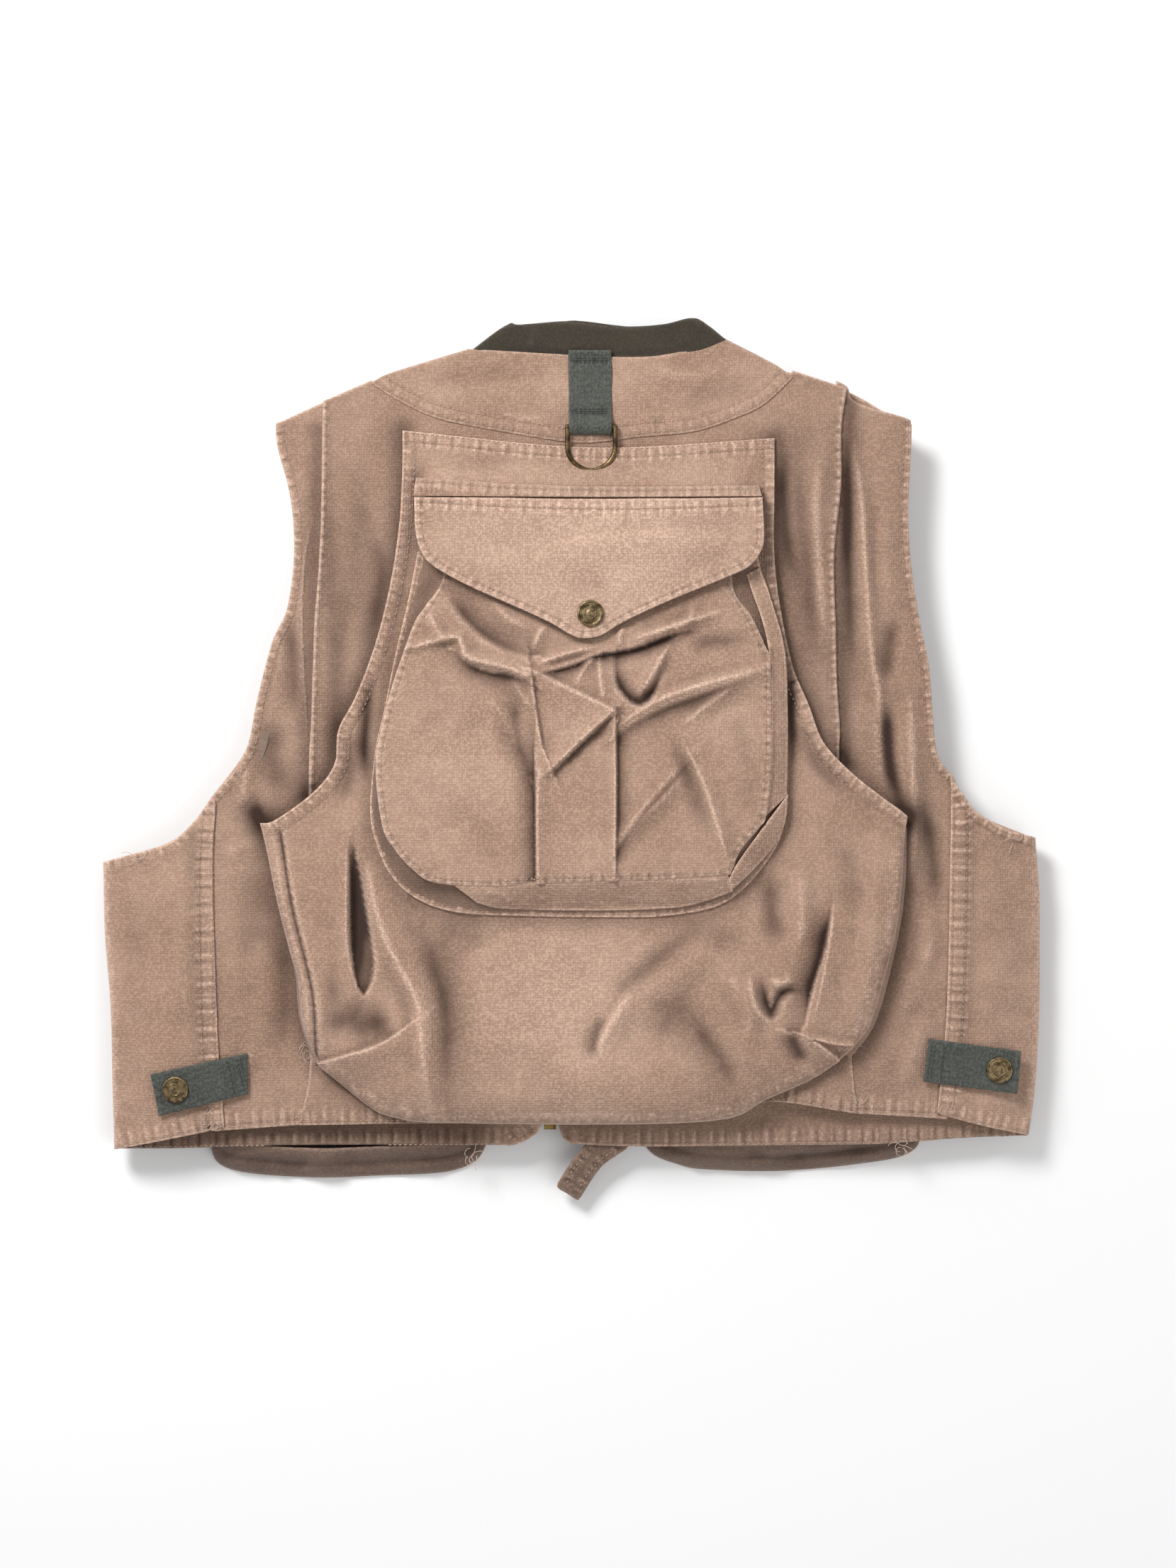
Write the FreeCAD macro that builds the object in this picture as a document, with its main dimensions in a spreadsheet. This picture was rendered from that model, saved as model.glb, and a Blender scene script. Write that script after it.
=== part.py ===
"""A short fly-fishing vest, laid flat with its back up: canvas shell, rear pouch, pockets, snaps and zip.

Millimetres. +X is to the right, +Y towards the collar, +Z up from the surface that the vest lies on.
The origin is the centre of the vest's outline, on that surface.
"""
import FreeCAD, Part
import math
import os
from collections import namedtuple

import Sketcher

doc = FreeCAD.newDocument("FishingVest")
sheet = doc.addObject("Spreadsheet::Sheet", "Sizes")
size_names = []
nodes = []
Via = namedtuple("Via", "x y")
Plane = namedtuple("Plane", "y z angle")


class Size:
    """A number together with the sheet expression that gives it."""

    def __init__(self, value, text):
        self.value = value
        self.text = text

    def __add__(self, other):
        other = as_size(other)
        return Size(self.value + other.value, f"({self.text} + {other.text})")

    def __sub__(self, other):
        other = as_size(other)
        return Size(self.value - other.value, f"({self.text} - {other.text})")

    def __mul__(self, other):
        other = as_size(other)
        return Size(self.value * other.value, f"({self.text} * {other.text})")

    def __truediv__(self, other):
        other = as_size(other)
        return Size(self.value / other.value, f"({self.text} / {other.text})")

    def __neg__(self):
        return Size(-self.value, f"(-1 * {self.text})")

    __radd__ = __add__
    __rmul__ = __mul__

    def __rsub__(self, other):
        return as_size(other) - self


def as_size(number):
    return number if isinstance(number, Size) else Size(float(number), f"({float(number)})")


def sine(angle):
    return Size(math.sin(math.radians(angle.value)), f"sin({angle.text})")


def cosine(angle):
    return Size(math.cos(math.radians(angle.value)), f"cos({angle.text})")


def tangent(angle):
    return Size(math.tan(math.radians(angle.value)), f"tan({angle.text})")


def size(name, value):
    """Write one driving dimension into the next row of the sheet."""
    size_names.append(name)
    row = len(size_names)
    sheet.set(f"A{row}", name)
    sheet.set(f"B{row}", str(value))
    sheet.setAlias(f"B{row}", name)
    return Size(float(value), f"Sizes.{name}")


# Body of the vest
chest_width = size("chest_width", 569)           # side fold to side fold
centre_x = size("centre_x", 12)                  # centre line of the back, as the vest lies
front_x = size("front_x", -13)                   # line where the two fronts meet
collar_top = size("collar_top", 267.5)
armhole_drop = size("armhole_drop", 314)         # collar to the bottom of the armhole
side_length = size("side_length", 173)           # bottom of the armhole to the back hem
front_overhang = size("front_overhang", 14)      # the front hems hang lower than the back hem
shoulder_width = size("shoulder_width", 384)
yoke_drop = size("yoke_drop", 75)                # collar top to the lowest point of the yoke seam
neck_width = size("neck_width", 154)
neck_band_height = size("neck_band_height", 20)
neck_band_cloth = size("neck_band_cloth", 1.8)
front_neck_drop = size("front_neck_drop", 117)   # collar top to the top of the zip
seam_inset = size("seam_inset", 60)              # side fold to side seam
pleat_width = size("pleat_width", 318)           # back pleat to back pleat
facing_width = size("facing_width", 12)
facing_cloth = size("facing_cloth", 0.8)
cloth = size("cloth", 1.2)                       # felled canvas, two layers
torso_gap = size("torso_gap", 8)
clearance = size("clearance", 0.3)

# Rear pouch, an apron that stands off the back towards the hem
pouch_top_y = size("pouch_top_y", 195)
pouch_top_width = size("pouch_top_width", 224)
pouch_tip_inset = size("pouch_tip_inset", 37)    # side seam to the tip of the pouch
pouch_tip_y = size("pouch_tip_y", -36)
pouch_tilt = size("pouch_tilt", 2.6)
pouch_wall = size("pouch_wall", 2)

# Bellows cargo pocket on the pouch, with its flap
cargo_x = size("cargo_x", 1.5)
cargo_top_y = size("cargo_top_y", 158)
cargo_bottom_y = size("cargo_bottom_y", -74)
cargo_width = size("cargo_width", 236)
cargo_bellows = size("cargo_bellows", 18)        # how far the folded bellows shows past the pocket
cargo_tilt = size("cargo_tilt", 4.5)
mouth_gap = size("mouth_gap", 7)                 # pouch to the mouth of the cargo pocket
mouth_slot = size("mouth_slot", 8)               # mouth of a pocket to the fold of its flap
seam_turn = size("seam_turn", 0.5)               # edge of the pocket's face to its bellows
flap_width = size("flap_width", 209)
flap_drop = size("flap_drop", 46)                # straight side of the flap, hinge to corner
flap_point = size("flap_point", 85)              # hinge to the point of the flap
flap_strip = size("flap_strip", 11)              # sewn-down strip above the flap
lining = size("lining", 0.6)

# Snap fasteners, all the same
cap_radius = size("cap_radius", 8)
cap_height = size("cap_height", 2.2)
cap_rim = size("cap_rim", 1.2)
socket_radius = size("socket_radius", 6)
stud_radius = size("stud_radius", 5)
stud_plate = size("stud_plate", 0.5)
knob_radius = size("knob_radius", 2)
knob_fit = size("knob_fit", 0.4)                 # radial room round the knob
snap_gap = size("snap_gap", 2.6)                 # closed snap between flap and pocket

# Net loop at the neck
webbing_width = size("webbing_width", 25.4)
webbing_cloth = size("webbing_cloth", 1.6)
net_loop_y = size("net_loop_y", 201)             # bar of the ring
ring_side_room = size("ring_side_room", 0.2)     # webbing to the wire at each side of the ring
ring_drop = size("ring_drop", 26)                # bar to the far end of the bow, wire centres
ring_wire = size("ring_wire", 3)
ring_room = size("ring_room", 0.4)               # room round the bar in the loop

# Side tabs
tab_length = size("tab_length", 57)
tab_snap = size("tab_snap", 13)                  # free end to the snap
left_tab_turn = size("left_tab_turn", 12.5)
right_tab_turn = size("right_tab_turn", -7.5)

# Front pockets, underneath as the vest lies
pocket_rise = size("pocket_rise", 12)            # floor to the top edge of a pocket's face
pocket_mouth = size("pocket_mouth", 4.8)         # that edge to the front panel
lower_pocket_width = size("lower_pocket_width", 182)
lower_pocket_height = size("lower_pocket_height", 150)
lower_pocket_flat = size("lower_pocket_flat", 55)
chest_pocket_width = size("chest_pocket_width", 115)
chest_pocket_height = size("chest_pocket_height", 105)
chest_pocket_flat = size("chest_pocket_flat", 32)
chest_pocket_y = size("chest_pocket_y", 15)
pocket_wall = size("pocket_wall", 1.6)
pocket_corner = size("pocket_corner", 14)
pocket_flap_drop = size("pocket_flap_drop", 46)
chest_flap_drop = size("chest_flap_drop", 36)

# Front zip and the loose strap
zip_room = size("zip_room", 4)                   # front edge to the line of the zip
tape_width = size("tape_width", 14)
tape_cloth = size("tape_cloth", 0.8)
teeth_gap = size("teeth_gap", 0.8)
teeth_width = size("teeth_width", 2.4)
slider_width = size("slider_width", 9.2)
slider_length = size("slider_length", 12)
pull_length = size("pull_length", 24)
pull_cloth = size("pull_cloth", 1.4)
strap_cloth = size("strap_cloth", 2.4)
strap_width = size("strap_width", 17)

doc.recompute()

half = chest_width / 2
pit_y = collar_top - armhole_drop
hem_y = pit_y - side_length
front_hem_y = hem_y - front_overhang
front_z = pocket_rise + cloth + pocket_mouth
inner_z = front_z + cloth
back_z = inner_z + torso_gap
back_top = back_z + cloth
left_seam_x = seam_inset - half
right_seam_x = half - seam_inset + 7
left_shoulder_x = centre_x - shoulder_width / 2
right_shoulder_x = centre_x + shoulder_width / 2
neck_y = collar_top - neck_band_height
left_neck_x = centre_x - neck_width / 2 + 2.7
right_neck_x = centre_x + neck_width / 2 + 3.4
yoke_y = collar_top - yoke_drop
left_pleat_x = centre_x - pleat_width / 2 - 6
right_pleat_x = centre_x + pleat_width / 2 - 6
zip_top_y = collar_top - front_neck_drop
zip_bottom_y = hem_y + 8


def new_body(label):
    """Start one sub-part; its label names its file."""
    body = doc.addObject("PartDesign::Body", label)
    body.Label = label
    nodes.append(body)
    return body


def new_sketch(body, name, role, offset):
    """Empty sketch on one of the body's own origin planes, moved along its normal."""
    sketch = body.newObject("Sketcher::SketchObject", name)
    plane = next(item for item in body.Origin.OriginFeatures if item.Role == role)
    sketch.AttachmentSupport = [(plane, "")]
    sketch.MapMode = "FlatFace"
    sketch.setExpression(".AttachmentOffset.Base.z", as_size(offset).text)
    return sketch


def corner(point):
    return FreeCAD.Vector(as_size(point[0]).value, as_size(point[1]).value, 0)


def draw(sketch, outline):
    """Closed outline of corners; a Via between two corners bends their run into an arc through it."""
    stops = [index for index, point in enumerate(outline) if not isinstance(point, Via)]
    rules = []
    bound = []
    runs = []
    for here, there in zip(stops, stops[1:] + [stops[0] + len(outline)]):
        start = corner(outline[here])
        end = corner(outline[there % len(outline)])
        if there - here == 1:
            runs.append((sketch.addGeometry(Part.LineSegment(start, end), False), 1, 2))
            continue
        bend = outline[here + 1]
        middle = corner(bend)
        forward = (middle - start).cross(end - middle).z > 0
        arc = Part.Arc(start, middle, end) if forward else Part.Arc(end, middle, start)
        edge = sketch.addGeometry(arc, False)
        runs.append((edge, 1, 2) if forward else (edge, 2, 1))
        spot = sketch.addGeometry(Part.Point(middle), True)
        rules.append(Sketcher.Constraint("PointOnObject", spot, 1, edge))
        bound.append((spot, 1, bend))
    for index, (edge, head, _) in enumerate(runs):
        last, _, tail = runs[index - 1]
        rules.append(Sketcher.Constraint("Coincident", last, tail, edge, head))
        bound.append((edge, head, outline[stops[index]]))
    first = sketch.ConstraintCount + len(rules)
    texts = []
    for edge, vertex, point in bound:
        for kind, place in zip(("DistanceX", "DistanceY"), point):
            rules.append(Sketcher.Constraint(kind, -1, 1, edge, vertex, as_size(place).value))
            texts.append(as_size(place).text)
    sketch.addConstraint(rules)
    for index, text in enumerate(texts):
        sketch.setExpression(f"Constraints[{first + index}]", text)


def pad(body, name, outlines, start, depth, role="XY_Plane"):
    """Pad the outlines from start, along the normal of the plane."""
    sketch = new_sketch(body, name + "_outline", role, start)
    for outline in outlines:
        draw(sketch, outline)
    feature = body.newObject("PartDesign::Pad", name)
    feature.Profile = sketch
    feature.setExpression("Length", as_size(depth).text)
    return feature


def slot_through(body, name, outline, reach):
    """Cut the outline, drawn looking along X, right through the body."""
    sketch = new_sketch(body, name + "_outline", "YZ_Plane", reach)
    draw(sketch, outline)
    feature = body.newObject("PartDesign::Pocket", name)
    feature.Profile = sketch
    feature.setExpression("Length", (as_size(reach) * 2).text)
    return feature


def plane_z(plane, y, lift=0):
    """Height of a tilted plane, raised by lift along its normal, above the world's y."""
    return plane.z + (y - plane.y) * tangent(plane.angle) + as_size(lift) / cosine(plane.angle)


def on_plane(plane, y, lift):
    """World Y and Z of a point given along the slope of a tilted plane and above it."""
    y = as_size(y)
    lift = as_size(lift)
    across = plane.y + y * cosine(plane.angle) - lift * sine(plane.angle)
    up = plane.z + y * sine(plane.angle) + lift * cosine(plane.angle)
    return across, up


def place(body, x, y, z, angle=None, axis=(1, 0, 0)):
    """Put a sub-part at a point, turned about an axis."""
    body.Placement = FreeCAD.Placement(FreeCAD.Vector(), FreeCAD.Rotation(FreeCAD.Vector(*axis), 0.001))
    for letter, value in zip("xyz", (x, y, z)):
        body.setExpression(f".Placement.Base.{letter}", as_size(value).text)
    if angle is None:
        body.Placement.Rotation = FreeCAD.Rotation()
    else:
        body.setExpression(".Placement.Rotation.Angle", angle.text)


def lay(body, plane):
    """Put a sub-part drawn from the plane's own zero onto that plane."""
    place(body, 0, plane.y, plane.z, plane.angle)


def drawn_on(plane, outline):
    """The outline with its Y counted from the plane's zero line."""
    return [type(point)(point[0], point[1] - plane.y) if isinstance(point, Via)
            else (point[0], point[1] - plane.y) for point in outline]


def shifted(outline, across, along=0):
    return [Via(point[0] + across, point[1] + along) if isinstance(point, Via)
            else (point[0] + across, point[1] + along) for point in outline]


def ribbon(edge, across, along=0):
    """Closed strip between an open edge and the same edge moved sideways."""
    return edge + shifted(edge, across, along)[::-1]


def inset(outline, middle, amount):
    """The outline drawn in towards its middle by the same amount in X and Y."""
    moved = []
    for point in outline:
        across = amount if as_size(point[0]).value < middle[0].value else -amount
        along = amount if as_size(point[1]).value < middle[1].value else -amount
        moved += shifted([point], across, along)
    return moved


def plate(label, outline, start, depth=cloth):
    """One flat layer of cloth."""
    body = new_body(label)
    pad(body, label + "_layer", [outline], start, depth)
    return body


def trim(body, name, plane, lift, keep_below):
    """Cut a body off along a tilted plane, keeping the part below or above it."""
    near = collar_top + front_overhang
    far = front_hem_y - front_overhang * 3
    over = back_z * 5 if keep_below else -back_z * 2
    slope = [
        (near, plane_z(plane, near, lift)),
        (near, over),
        (far, over),
        (far, plane_z(plane, far, lift)),
    ]
    slot_through(body, name, slope, chest_width)


def between(label, outlines, low, low_lift, high, high_lift):
    """Upright walls drawn in plan, from one tilted plane up to another."""
    body = new_body(label)
    pad(body, label + "_wall", outlines, back_top - mouth_gap, back_z * 2)
    trim(body, label + "_top", high, high_lift, True)
    trim(body, label + "_foot", low, low_lift, False)
    return body


# The two fronts: lower layer, side fold and the wrap that is felled to the back
left_fold = [(-half, pit_y - 15), (4.6 - half, hem_y - 16)]
right_fold = [(half - 2.7, pit_y), (half, pit_y - 67), (half - 6.8, hem_y - 8)]
left_armhole = [
    (left_shoulder_x, neck_y - 43),
    Via(left_shoulder_x + 12, neck_y - 120),
    (left_shoulder_x, neck_y - 175),
    Via(left_shoulder_x - 16, neck_y - 232),
    (left_seam_x, pit_y + 11),
]
left_pit = [(left_seam_x - 30, pit_y - 7)]
right_armhole = [
    (right_shoulder_x + 1, neck_y - 43),
    Via(right_shoulder_x, neck_y - 110),
    (right_shoulder_x + 7, neck_y - 166),
    Via(right_shoulder_x + 15, neck_y - 225),
    (right_seam_x, pit_y + 22),
]
right_pit = [(right_seam_x + 15, pit_y + 12), (right_seam_x + 31, pit_y + 5)]
left_neck = [
    (front_x - zip_room, zip_top_y),
    Via(left_neck_x + 14, neck_y - 52),
    (left_neck_x, neck_y + 1),
]
right_neck = [
    (front_x + zip_room, zip_top_y),
    Via(right_neck_x - 17, neck_y - 55),
    (right_neck_x, neck_y + 7),
]
front_left_outline = (left_neck + left_armhole + left_pit + left_fold + [
    (front_x - zip_room - 22, front_hem_y),
    Via(front_x - zip_room - 6, front_hem_y + 5),
    (front_x - zip_room, hem_y),
])
front_right_outline = (right_neck + right_armhole + right_pit + right_fold + [
    (front_x + zip_room + 16, front_hem_y),
    Via(front_x + zip_room + 4, front_hem_y + 4),
    (front_x + zip_room, hem_y),
])
left_seam = [left_armhole[-1], (left_seam_x + 7, hem_y - 4)]
right_seam = [right_armhole[-1], (right_seam_x - 6, hem_y + 4)]


def front(side, outline, seam, pit, fold, shoulder, inwards):
    """One front with its side fold, its wrap on the back and the turn of its shoulder."""
    body = plate(f"{side}_front_panel", outline, front_z)
    pad(body, f"{side}_fold_wall", [ribbon(fold, cloth * inwards)], front_z, back_top - front_z)
    pad(body, f"{side}_wrap", [[seam[0]] + pit + fold + [seam[1]]], back_z, cloth)
    pad(body, f"{side}_shoulder_wall", [ribbon(shoulder, 0, -cloth)], front_z, back_z - front_z)


front("left", front_left_outline, left_seam, left_pit, left_fold, [left_neck[-1], left_armhole[0]], 1)
front("right", front_right_outline, right_seam, right_pit, right_fold, [right_neck[-1], right_armhole[0]], -1)

# The back: yoke, centre panel between the pleats, and a panel each side of them
left_pleat = [(left_pleat_x + 3, neck_y - 29), (left_pleat_x - 7, hem_y)]
right_pleat = [(right_pleat_x + 1, neck_y - 21), (right_pleat_x, hem_y + 6)]
yoke_seam = [(left_neck_x - 59, neck_y - 20), Via(centre_x, yoke_y), (right_neck_x + 42, neck_y - 12)]
back_neck = [right_neck[-1], Via(centre_x, neck_y - 4), left_neck[-1]]
plate("back_yoke", yoke_seam + back_neck, back_z)
plate("back_panel", yoke_seam + [right_pleat[0], right_pleat[1], left_pleat[1], left_pleat[0]], back_z)
plate("left_back_side_panel", left_armhole + [left_seam[1], left_pleat[1], left_pleat[0]], back_z)
plate("right_back_side_panel", right_armhole + [right_seam[1], right_pleat[1], right_pleat[0]], back_z)
plate("left_armhole_facing", ribbon(left_armhole, facing_width), back_z - facing_cloth, facing_cloth)
plate("right_armhole_facing", ribbon(right_armhole, -facing_width), back_z - facing_cloth, facing_cloth)

# Neck band: a crescent at the back and a strip down each side of the front neckline
band_top = [
    (left_neck_x + 22, collar_top - 3),
    Via(centre_x, collar_top - 4),
    (right_neck_x - 16, collar_top),
]
left_turn = (left_neck_x + 16, neck_y - 4)
right_turn = (right_neck_x - 15, neck_y)
neck_band = plate("neck_band", back_neck + band_top, back_z, neck_band_cloth)
pad(neck_band, "neck_band_left", [left_neck + [
    left_turn,
    Via(left_neck_x + 32, neck_y - 46),
    (front_x - zip_room, zip_top_y + 22),
]], front_z, neck_band_cloth)
pad(neck_band, "neck_band_right", [right_neck + [
    right_turn,
    Via(right_neck_x - 35, neck_y - 46),
    (front_x + zip_room, zip_top_y + 22),
]], front_z, neck_band_cloth)
pad(neck_band, "neck_band_turns", [
    [left_neck[-1], left_turn, (left_neck_x + 22, collar_top - 5), (left_neck_x + 14, neck_y + 14)],
    [right_neck[-1], right_turn, (right_neck_x - 16, collar_top - 2), (right_neck_x - 4, neck_y + 12)],
], front_z, back_z - front_z)

# Rear pouch: the apron's face, closed below, with a gusset each side under its tips
pouch = Plane(pouch_top_y, back_top + clearance, -pouch_tilt)
cargo_foot = plane_z(pouch, cargo_top_y, cloth)
cargo = Plane(cargo_top_y, cargo_foot + mouth_gap, -cargo_tilt)
left_pouch_x = centre_x - pouch_top_width / 2 - 2
right_pouch_x = centre_x + pouch_top_width / 2 - 2
left_tip_x = left_seam_x + pouch_tip_inset
right_tip_x = right_seam_x - pouch_tip_inset + 8
left_pouch_side = [
    (left_tip_x, pouch_tip_y),
    (left_tip_x + 20, pouch_tip_y - 84),
    (left_tip_x + 35, pouch_tip_y - 148),
    (left_tip_x + 65, hem_y + 11),
]
right_pouch_side = [
    (right_tip_x, pouch_tip_y + 3),
    (right_tip_x - 8, pouch_tip_y - 74),
    (right_tip_x - 21, pouch_tip_y - 120),
    (right_tip_x - 56, hem_y + 28),
    (right_tip_x - 85, hem_y + 15),
]
pouch_base = [(left_tip_x + 83, hem_y + 4), (centre_x, hem_y), (right_tip_x - 112, hem_y + 3)]
pouch_outline = [
    (left_pouch_x, pouch_top_y + 4),
    (left_pouch_x, pouch_top_y - 56),
    Via(left_pouch_x - 16, pouch_top_y - 130),
    (left_pouch_x - 40, pouch_tip_y + 32),
    Via(left_pouch_x - 55, pouch_tip_y + 14),
] + left_pouch_side + pouch_base + right_pouch_side[::-1] + [
    Via(right_pouch_x + 62, pouch_tip_y + 14),
    (right_pouch_x + 29, pouch_tip_y + 48),
    Via(right_pouch_x + 9, pouch_top_y - 130),
    (right_pouch_x, pouch_top_y - 66),
    (right_pouch_x, pouch_top_y),
    (centre_x, pouch_top_y - 6),
]
pouch_drop = (pouch_top_y - hem_y - 6) * sine(pouch_tilt)
rear_pouch = plate("rear_pouch_panel", drawn_on(pouch, pouch_outline), 0)
base_wall_line = drawn_on(pouch, [
    (left_tip_x + 83 + pouch_wall, hem_y + 4),
    (centre_x, hem_y),
    (right_tip_x - 112 - pouch_wall, hem_y + 3),
])
pad(rear_pouch, "rear_pouch_base", [ribbon(base_wall_line, 0, pouch_wall)], -pouch_drop, pouch_drop)
lay(rear_pouch, pouch)
gusset_foot = Plane(pouch_top_y, back_top, as_size(0))
left_gusset_line = left_pouch_side + [pouch_base[0]]
right_gusset_line = right_pouch_side + [pouch_base[-1]]
between("left_pouch_gusset", [ribbon(left_gusset_line, pouch_wall)], gusset_foot, 0, pouch, 0)
between("right_pouch_gusset", [ribbon(right_gusset_line, -pouch_wall)], gusset_foot, 0, pouch, 0)

# Cargo pocket: its face, and the bellows that shows as a folded rim round it
left_cargo_x = cargo_x - cargo_width / 2
right_cargo_x = cargo_x + cargo_width / 2
cargo_mouth_y = cargo_top_y - mouth_slot
cargo_outline = [
    (left_cargo_x + 30, cargo_mouth_y),
    (left_cargo_x + 30, cargo_top_y - 65),
    Via(left_cargo_x + 9, cargo_top_y - 114),
    (left_cargo_x, cargo_top_y - 162),
    Via(left_cargo_x + 8, cargo_bottom_y + 22),
    (left_cargo_x + 35, cargo_bottom_y),
    (right_cargo_x - 26, cargo_bottom_y + 6),
    Via(right_cargo_x - 8, cargo_bottom_y + 30),
    (right_cargo_x, cargo_top_y - 162),
    Via(right_cargo_x - 1, cargo_top_y - 100),
    (right_cargo_x - 23, cargo_top_y - 52),
    (right_cargo_x - 23, cargo_mouth_y),
]
bellows_outline = [
    (left_cargo_x + 24, cargo_mouth_y),
    (left_cargo_x + 18, cargo_top_y - 65),
    Via(left_cargo_x + 3, cargo_top_y - 120),
    (left_cargo_x - 4, cargo_top_y - 162),
    Via(left_cargo_x + 5, cargo_bottom_y - 3),
    (left_cargo_x + 42, cargo_bottom_y - cargo_bellows),
    (right_cargo_x - 58, cargo_bottom_y - cargo_bellows),
    Via(right_cargo_x - 4, cargo_bottom_y + 14),
    (right_cargo_x + 10, cargo_top_y - 162),
    Via(right_cargo_x + 9, cargo_top_y - 105),
    (right_cargo_x - 8, cargo_top_y - 45),
    (right_cargo_x - 8, cargo_mouth_y),
]
lay(plate("cargo_pocket_panel", drawn_on(cargo, cargo_outline), 0), cargo)
cargo_middle = (cargo_x, (cargo_top_y + cargo_bottom_y) / 2)
wall_outer = inset(cargo_outline, cargo_middle, seam_turn)
wall_inner = inset(cargo_outline, cargo_middle, seam_turn + pouch_wall)
wall = wall_outer + wall_inner[::-1]
bellows = new_body("cargo_pocket_gusset")
pad(bellows, "bellows_rim", [bellows_outline, wall_inner], back_top - mouth_gap, back_z * 2)
trim(bellows, "bellows_rim_top", pouch, cloth * 2, True)
pad(bellows, "bellows_wall", [wall], back_top - mouth_gap, back_z * 2)
trim(bellows, "bellows_wall_top", cargo, 0, True)
trim(bellows, "bellows_foot", pouch, cloth, False)

# Its flap: sewn-down strip, and the outer cloth and lining that turn about the fold
flap_low = cloth + snap_gap
flap_high = flap_low + lining + cloth
flap_x = centre_x - 1.5
flap_outline = [
    (flap_x - flap_width / 2, 0),
    (flap_x - flap_width / 2 + 2, -flap_drop / 2),
    Via(flap_x - flap_width / 2 + 7, -flap_drop + 10),
    (flap_x - flap_width / 2 + 19, -flap_drop),
    (flap_x - 14, -flap_point + 7),
    Via(flap_x - 1, -flap_point),
    (flap_x + 12, -flap_point + 5),
    (flap_x + flap_width / 2 - 10, -flap_drop + 2),
    Via(flap_x + flap_width / 2 - 2, -flap_drop + 11),
    (flap_x + flap_width / 2, -flap_drop / 2),
    (flap_x + flap_width / 2, 0),
]
strip_foot_y = cargo_top_y + clearance * 2
between("cargo_flap_strip", [[
    (flap_x - flap_width / 2, strip_foot_y),
    (flap_x - flap_width / 2, strip_foot_y + flap_strip),
    (flap_x, strip_foot_y + flap_strip - 6),
    (flap_x + flap_width / 2, strip_foot_y + flap_strip - 4),
    (flap_x + flap_width / 2, strip_foot_y),
]], pouch, cloth, cargo, flap_high)
lay(plate("cargo_flap", flap_outline, flap_low + lining), cargo)
lay(plate("cargo_flap_lining", flap_outline, flap_low, lining), cargo)

# Snap fasteners: studs and their back plates are on the pockets and sides, sockets and caps on the flaps
studs = []
back_plates = []


def disc(name, radius, start, depth, spot, angle, side):
    """A flat disc that starts at a height above or below its plane and grows away from it."""
    piece = doc.addObject("Part::Cylinder", name)
    piece.setExpression("Radius", radius.text)
    piece.setExpression("Height", depth.text)
    low = start if side > 0 else -start - depth
    across, up = on_plane(Plane(spot[1], spot[2], angle), 0, low)
    place(piece, spot[0], across, up, angle)
    return piece


def ring_of(label, outer, inner):
    """Cut one disc out of another and keep it as a sub-part."""
    piece = doc.addObject("Part::Cut", label)
    piece.Base = outer
    piece.Tool = inner
    piece.Label = label
    nodes.append(piece)


def snap(label, spot, angle, side, leaf):
    """One snap: spot is on the outside of what holds the stud, and leaf is the thickness of the flap."""
    flange = disc(label + "_stud_flange", stud_radius, as_size(0), stud_plate, spot, angle, side)
    knob = disc(label + "_stud_knob", knob_radius, stud_plate, snap_gap - stud_plate * 2, spot, angle, side)
    stud = doc.addObject("Part::MultiFuse", label + "_stud")
    stud.Shapes = [flange, knob]
    studs.append(stud)
    plate_start = -(cloth + stud_plate)
    back_plates.append(disc(label + "_back", stud_radius, plate_start, stud_plate, spot, angle, side))
    ring_start = stud_plate + clearance
    ring_depth = snap_gap - ring_start
    body = disc(label + "_socket_body", socket_radius, ring_start, ring_depth, spot, angle, side)
    bore_radius = knob_radius + knob_fit
    bore = disc(label + "_socket_bore", bore_radius, ring_start / 2, ring_depth * 2, spot, angle, side)
    ring_of(label + "_snap_socket", body, bore)
    cap = new_body(label + "_snap_cap")
    rim = [
        (0, 0),
        (cap_radius, 0),
        (cap_radius, cap_rim * side),
        (cap_radius - cap_rim, cap_height * side),
        (0, cap_height * side),
    ]
    sketch = new_sketch(cap, label + "_cap_profile", "XZ_Plane", 0)
    draw(sketch, rim)
    turned = cap.newObject("PartDesign::Revolution", label + "_cap_turned")
    turned.Profile = sketch
    turned.ReferenceAxis = (sketch, ["V_Axis"])
    turned.Angle = 360
    lift = (snap_gap + leaf) * side
    across, up = on_plane(Plane(spot[1], spot[2], angle), 0, lift)
    place(cap, spot[0], across, up, angle)


flap_spot_y, flap_spot_z = on_plane(cargo, -flap_point + 14, cloth)
snap("cargo_flap", (flap_x + 1, flap_spot_y, flap_spot_z), cargo.angle, 1, lining + cloth)

# Net loop: doubled webbing sewn to the yoke, closed round the straight bar of a D-ring
ring_z = back_top + ring_wire / 2 + webbing_cloth + ring_room + clearance * 3
loop_radius = ring_wire / 2 + ring_room + webbing_cloth
strap_end_y = neck_y - 4 - clearance
net_loop = new_body("net_loop_webbing")
pad(net_loop, "net_loop_strap", [[
    (net_loop_y, back_top + clearance / 3),
    (strap_end_y, back_top + clearance / 3),
    (strap_end_y, back_top + clearance / 3 + webbing_cloth * 2),
    (net_loop_y, back_top + clearance / 3 + webbing_cloth * 2),
]], centre_x - webbing_width / 2, webbing_width, "YZ_Plane")


def round_outline(y, z, radius):
    return [(y - radius, z), Via(y, z + radius), (y + radius, z), Via(y, z - radius)]


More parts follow.
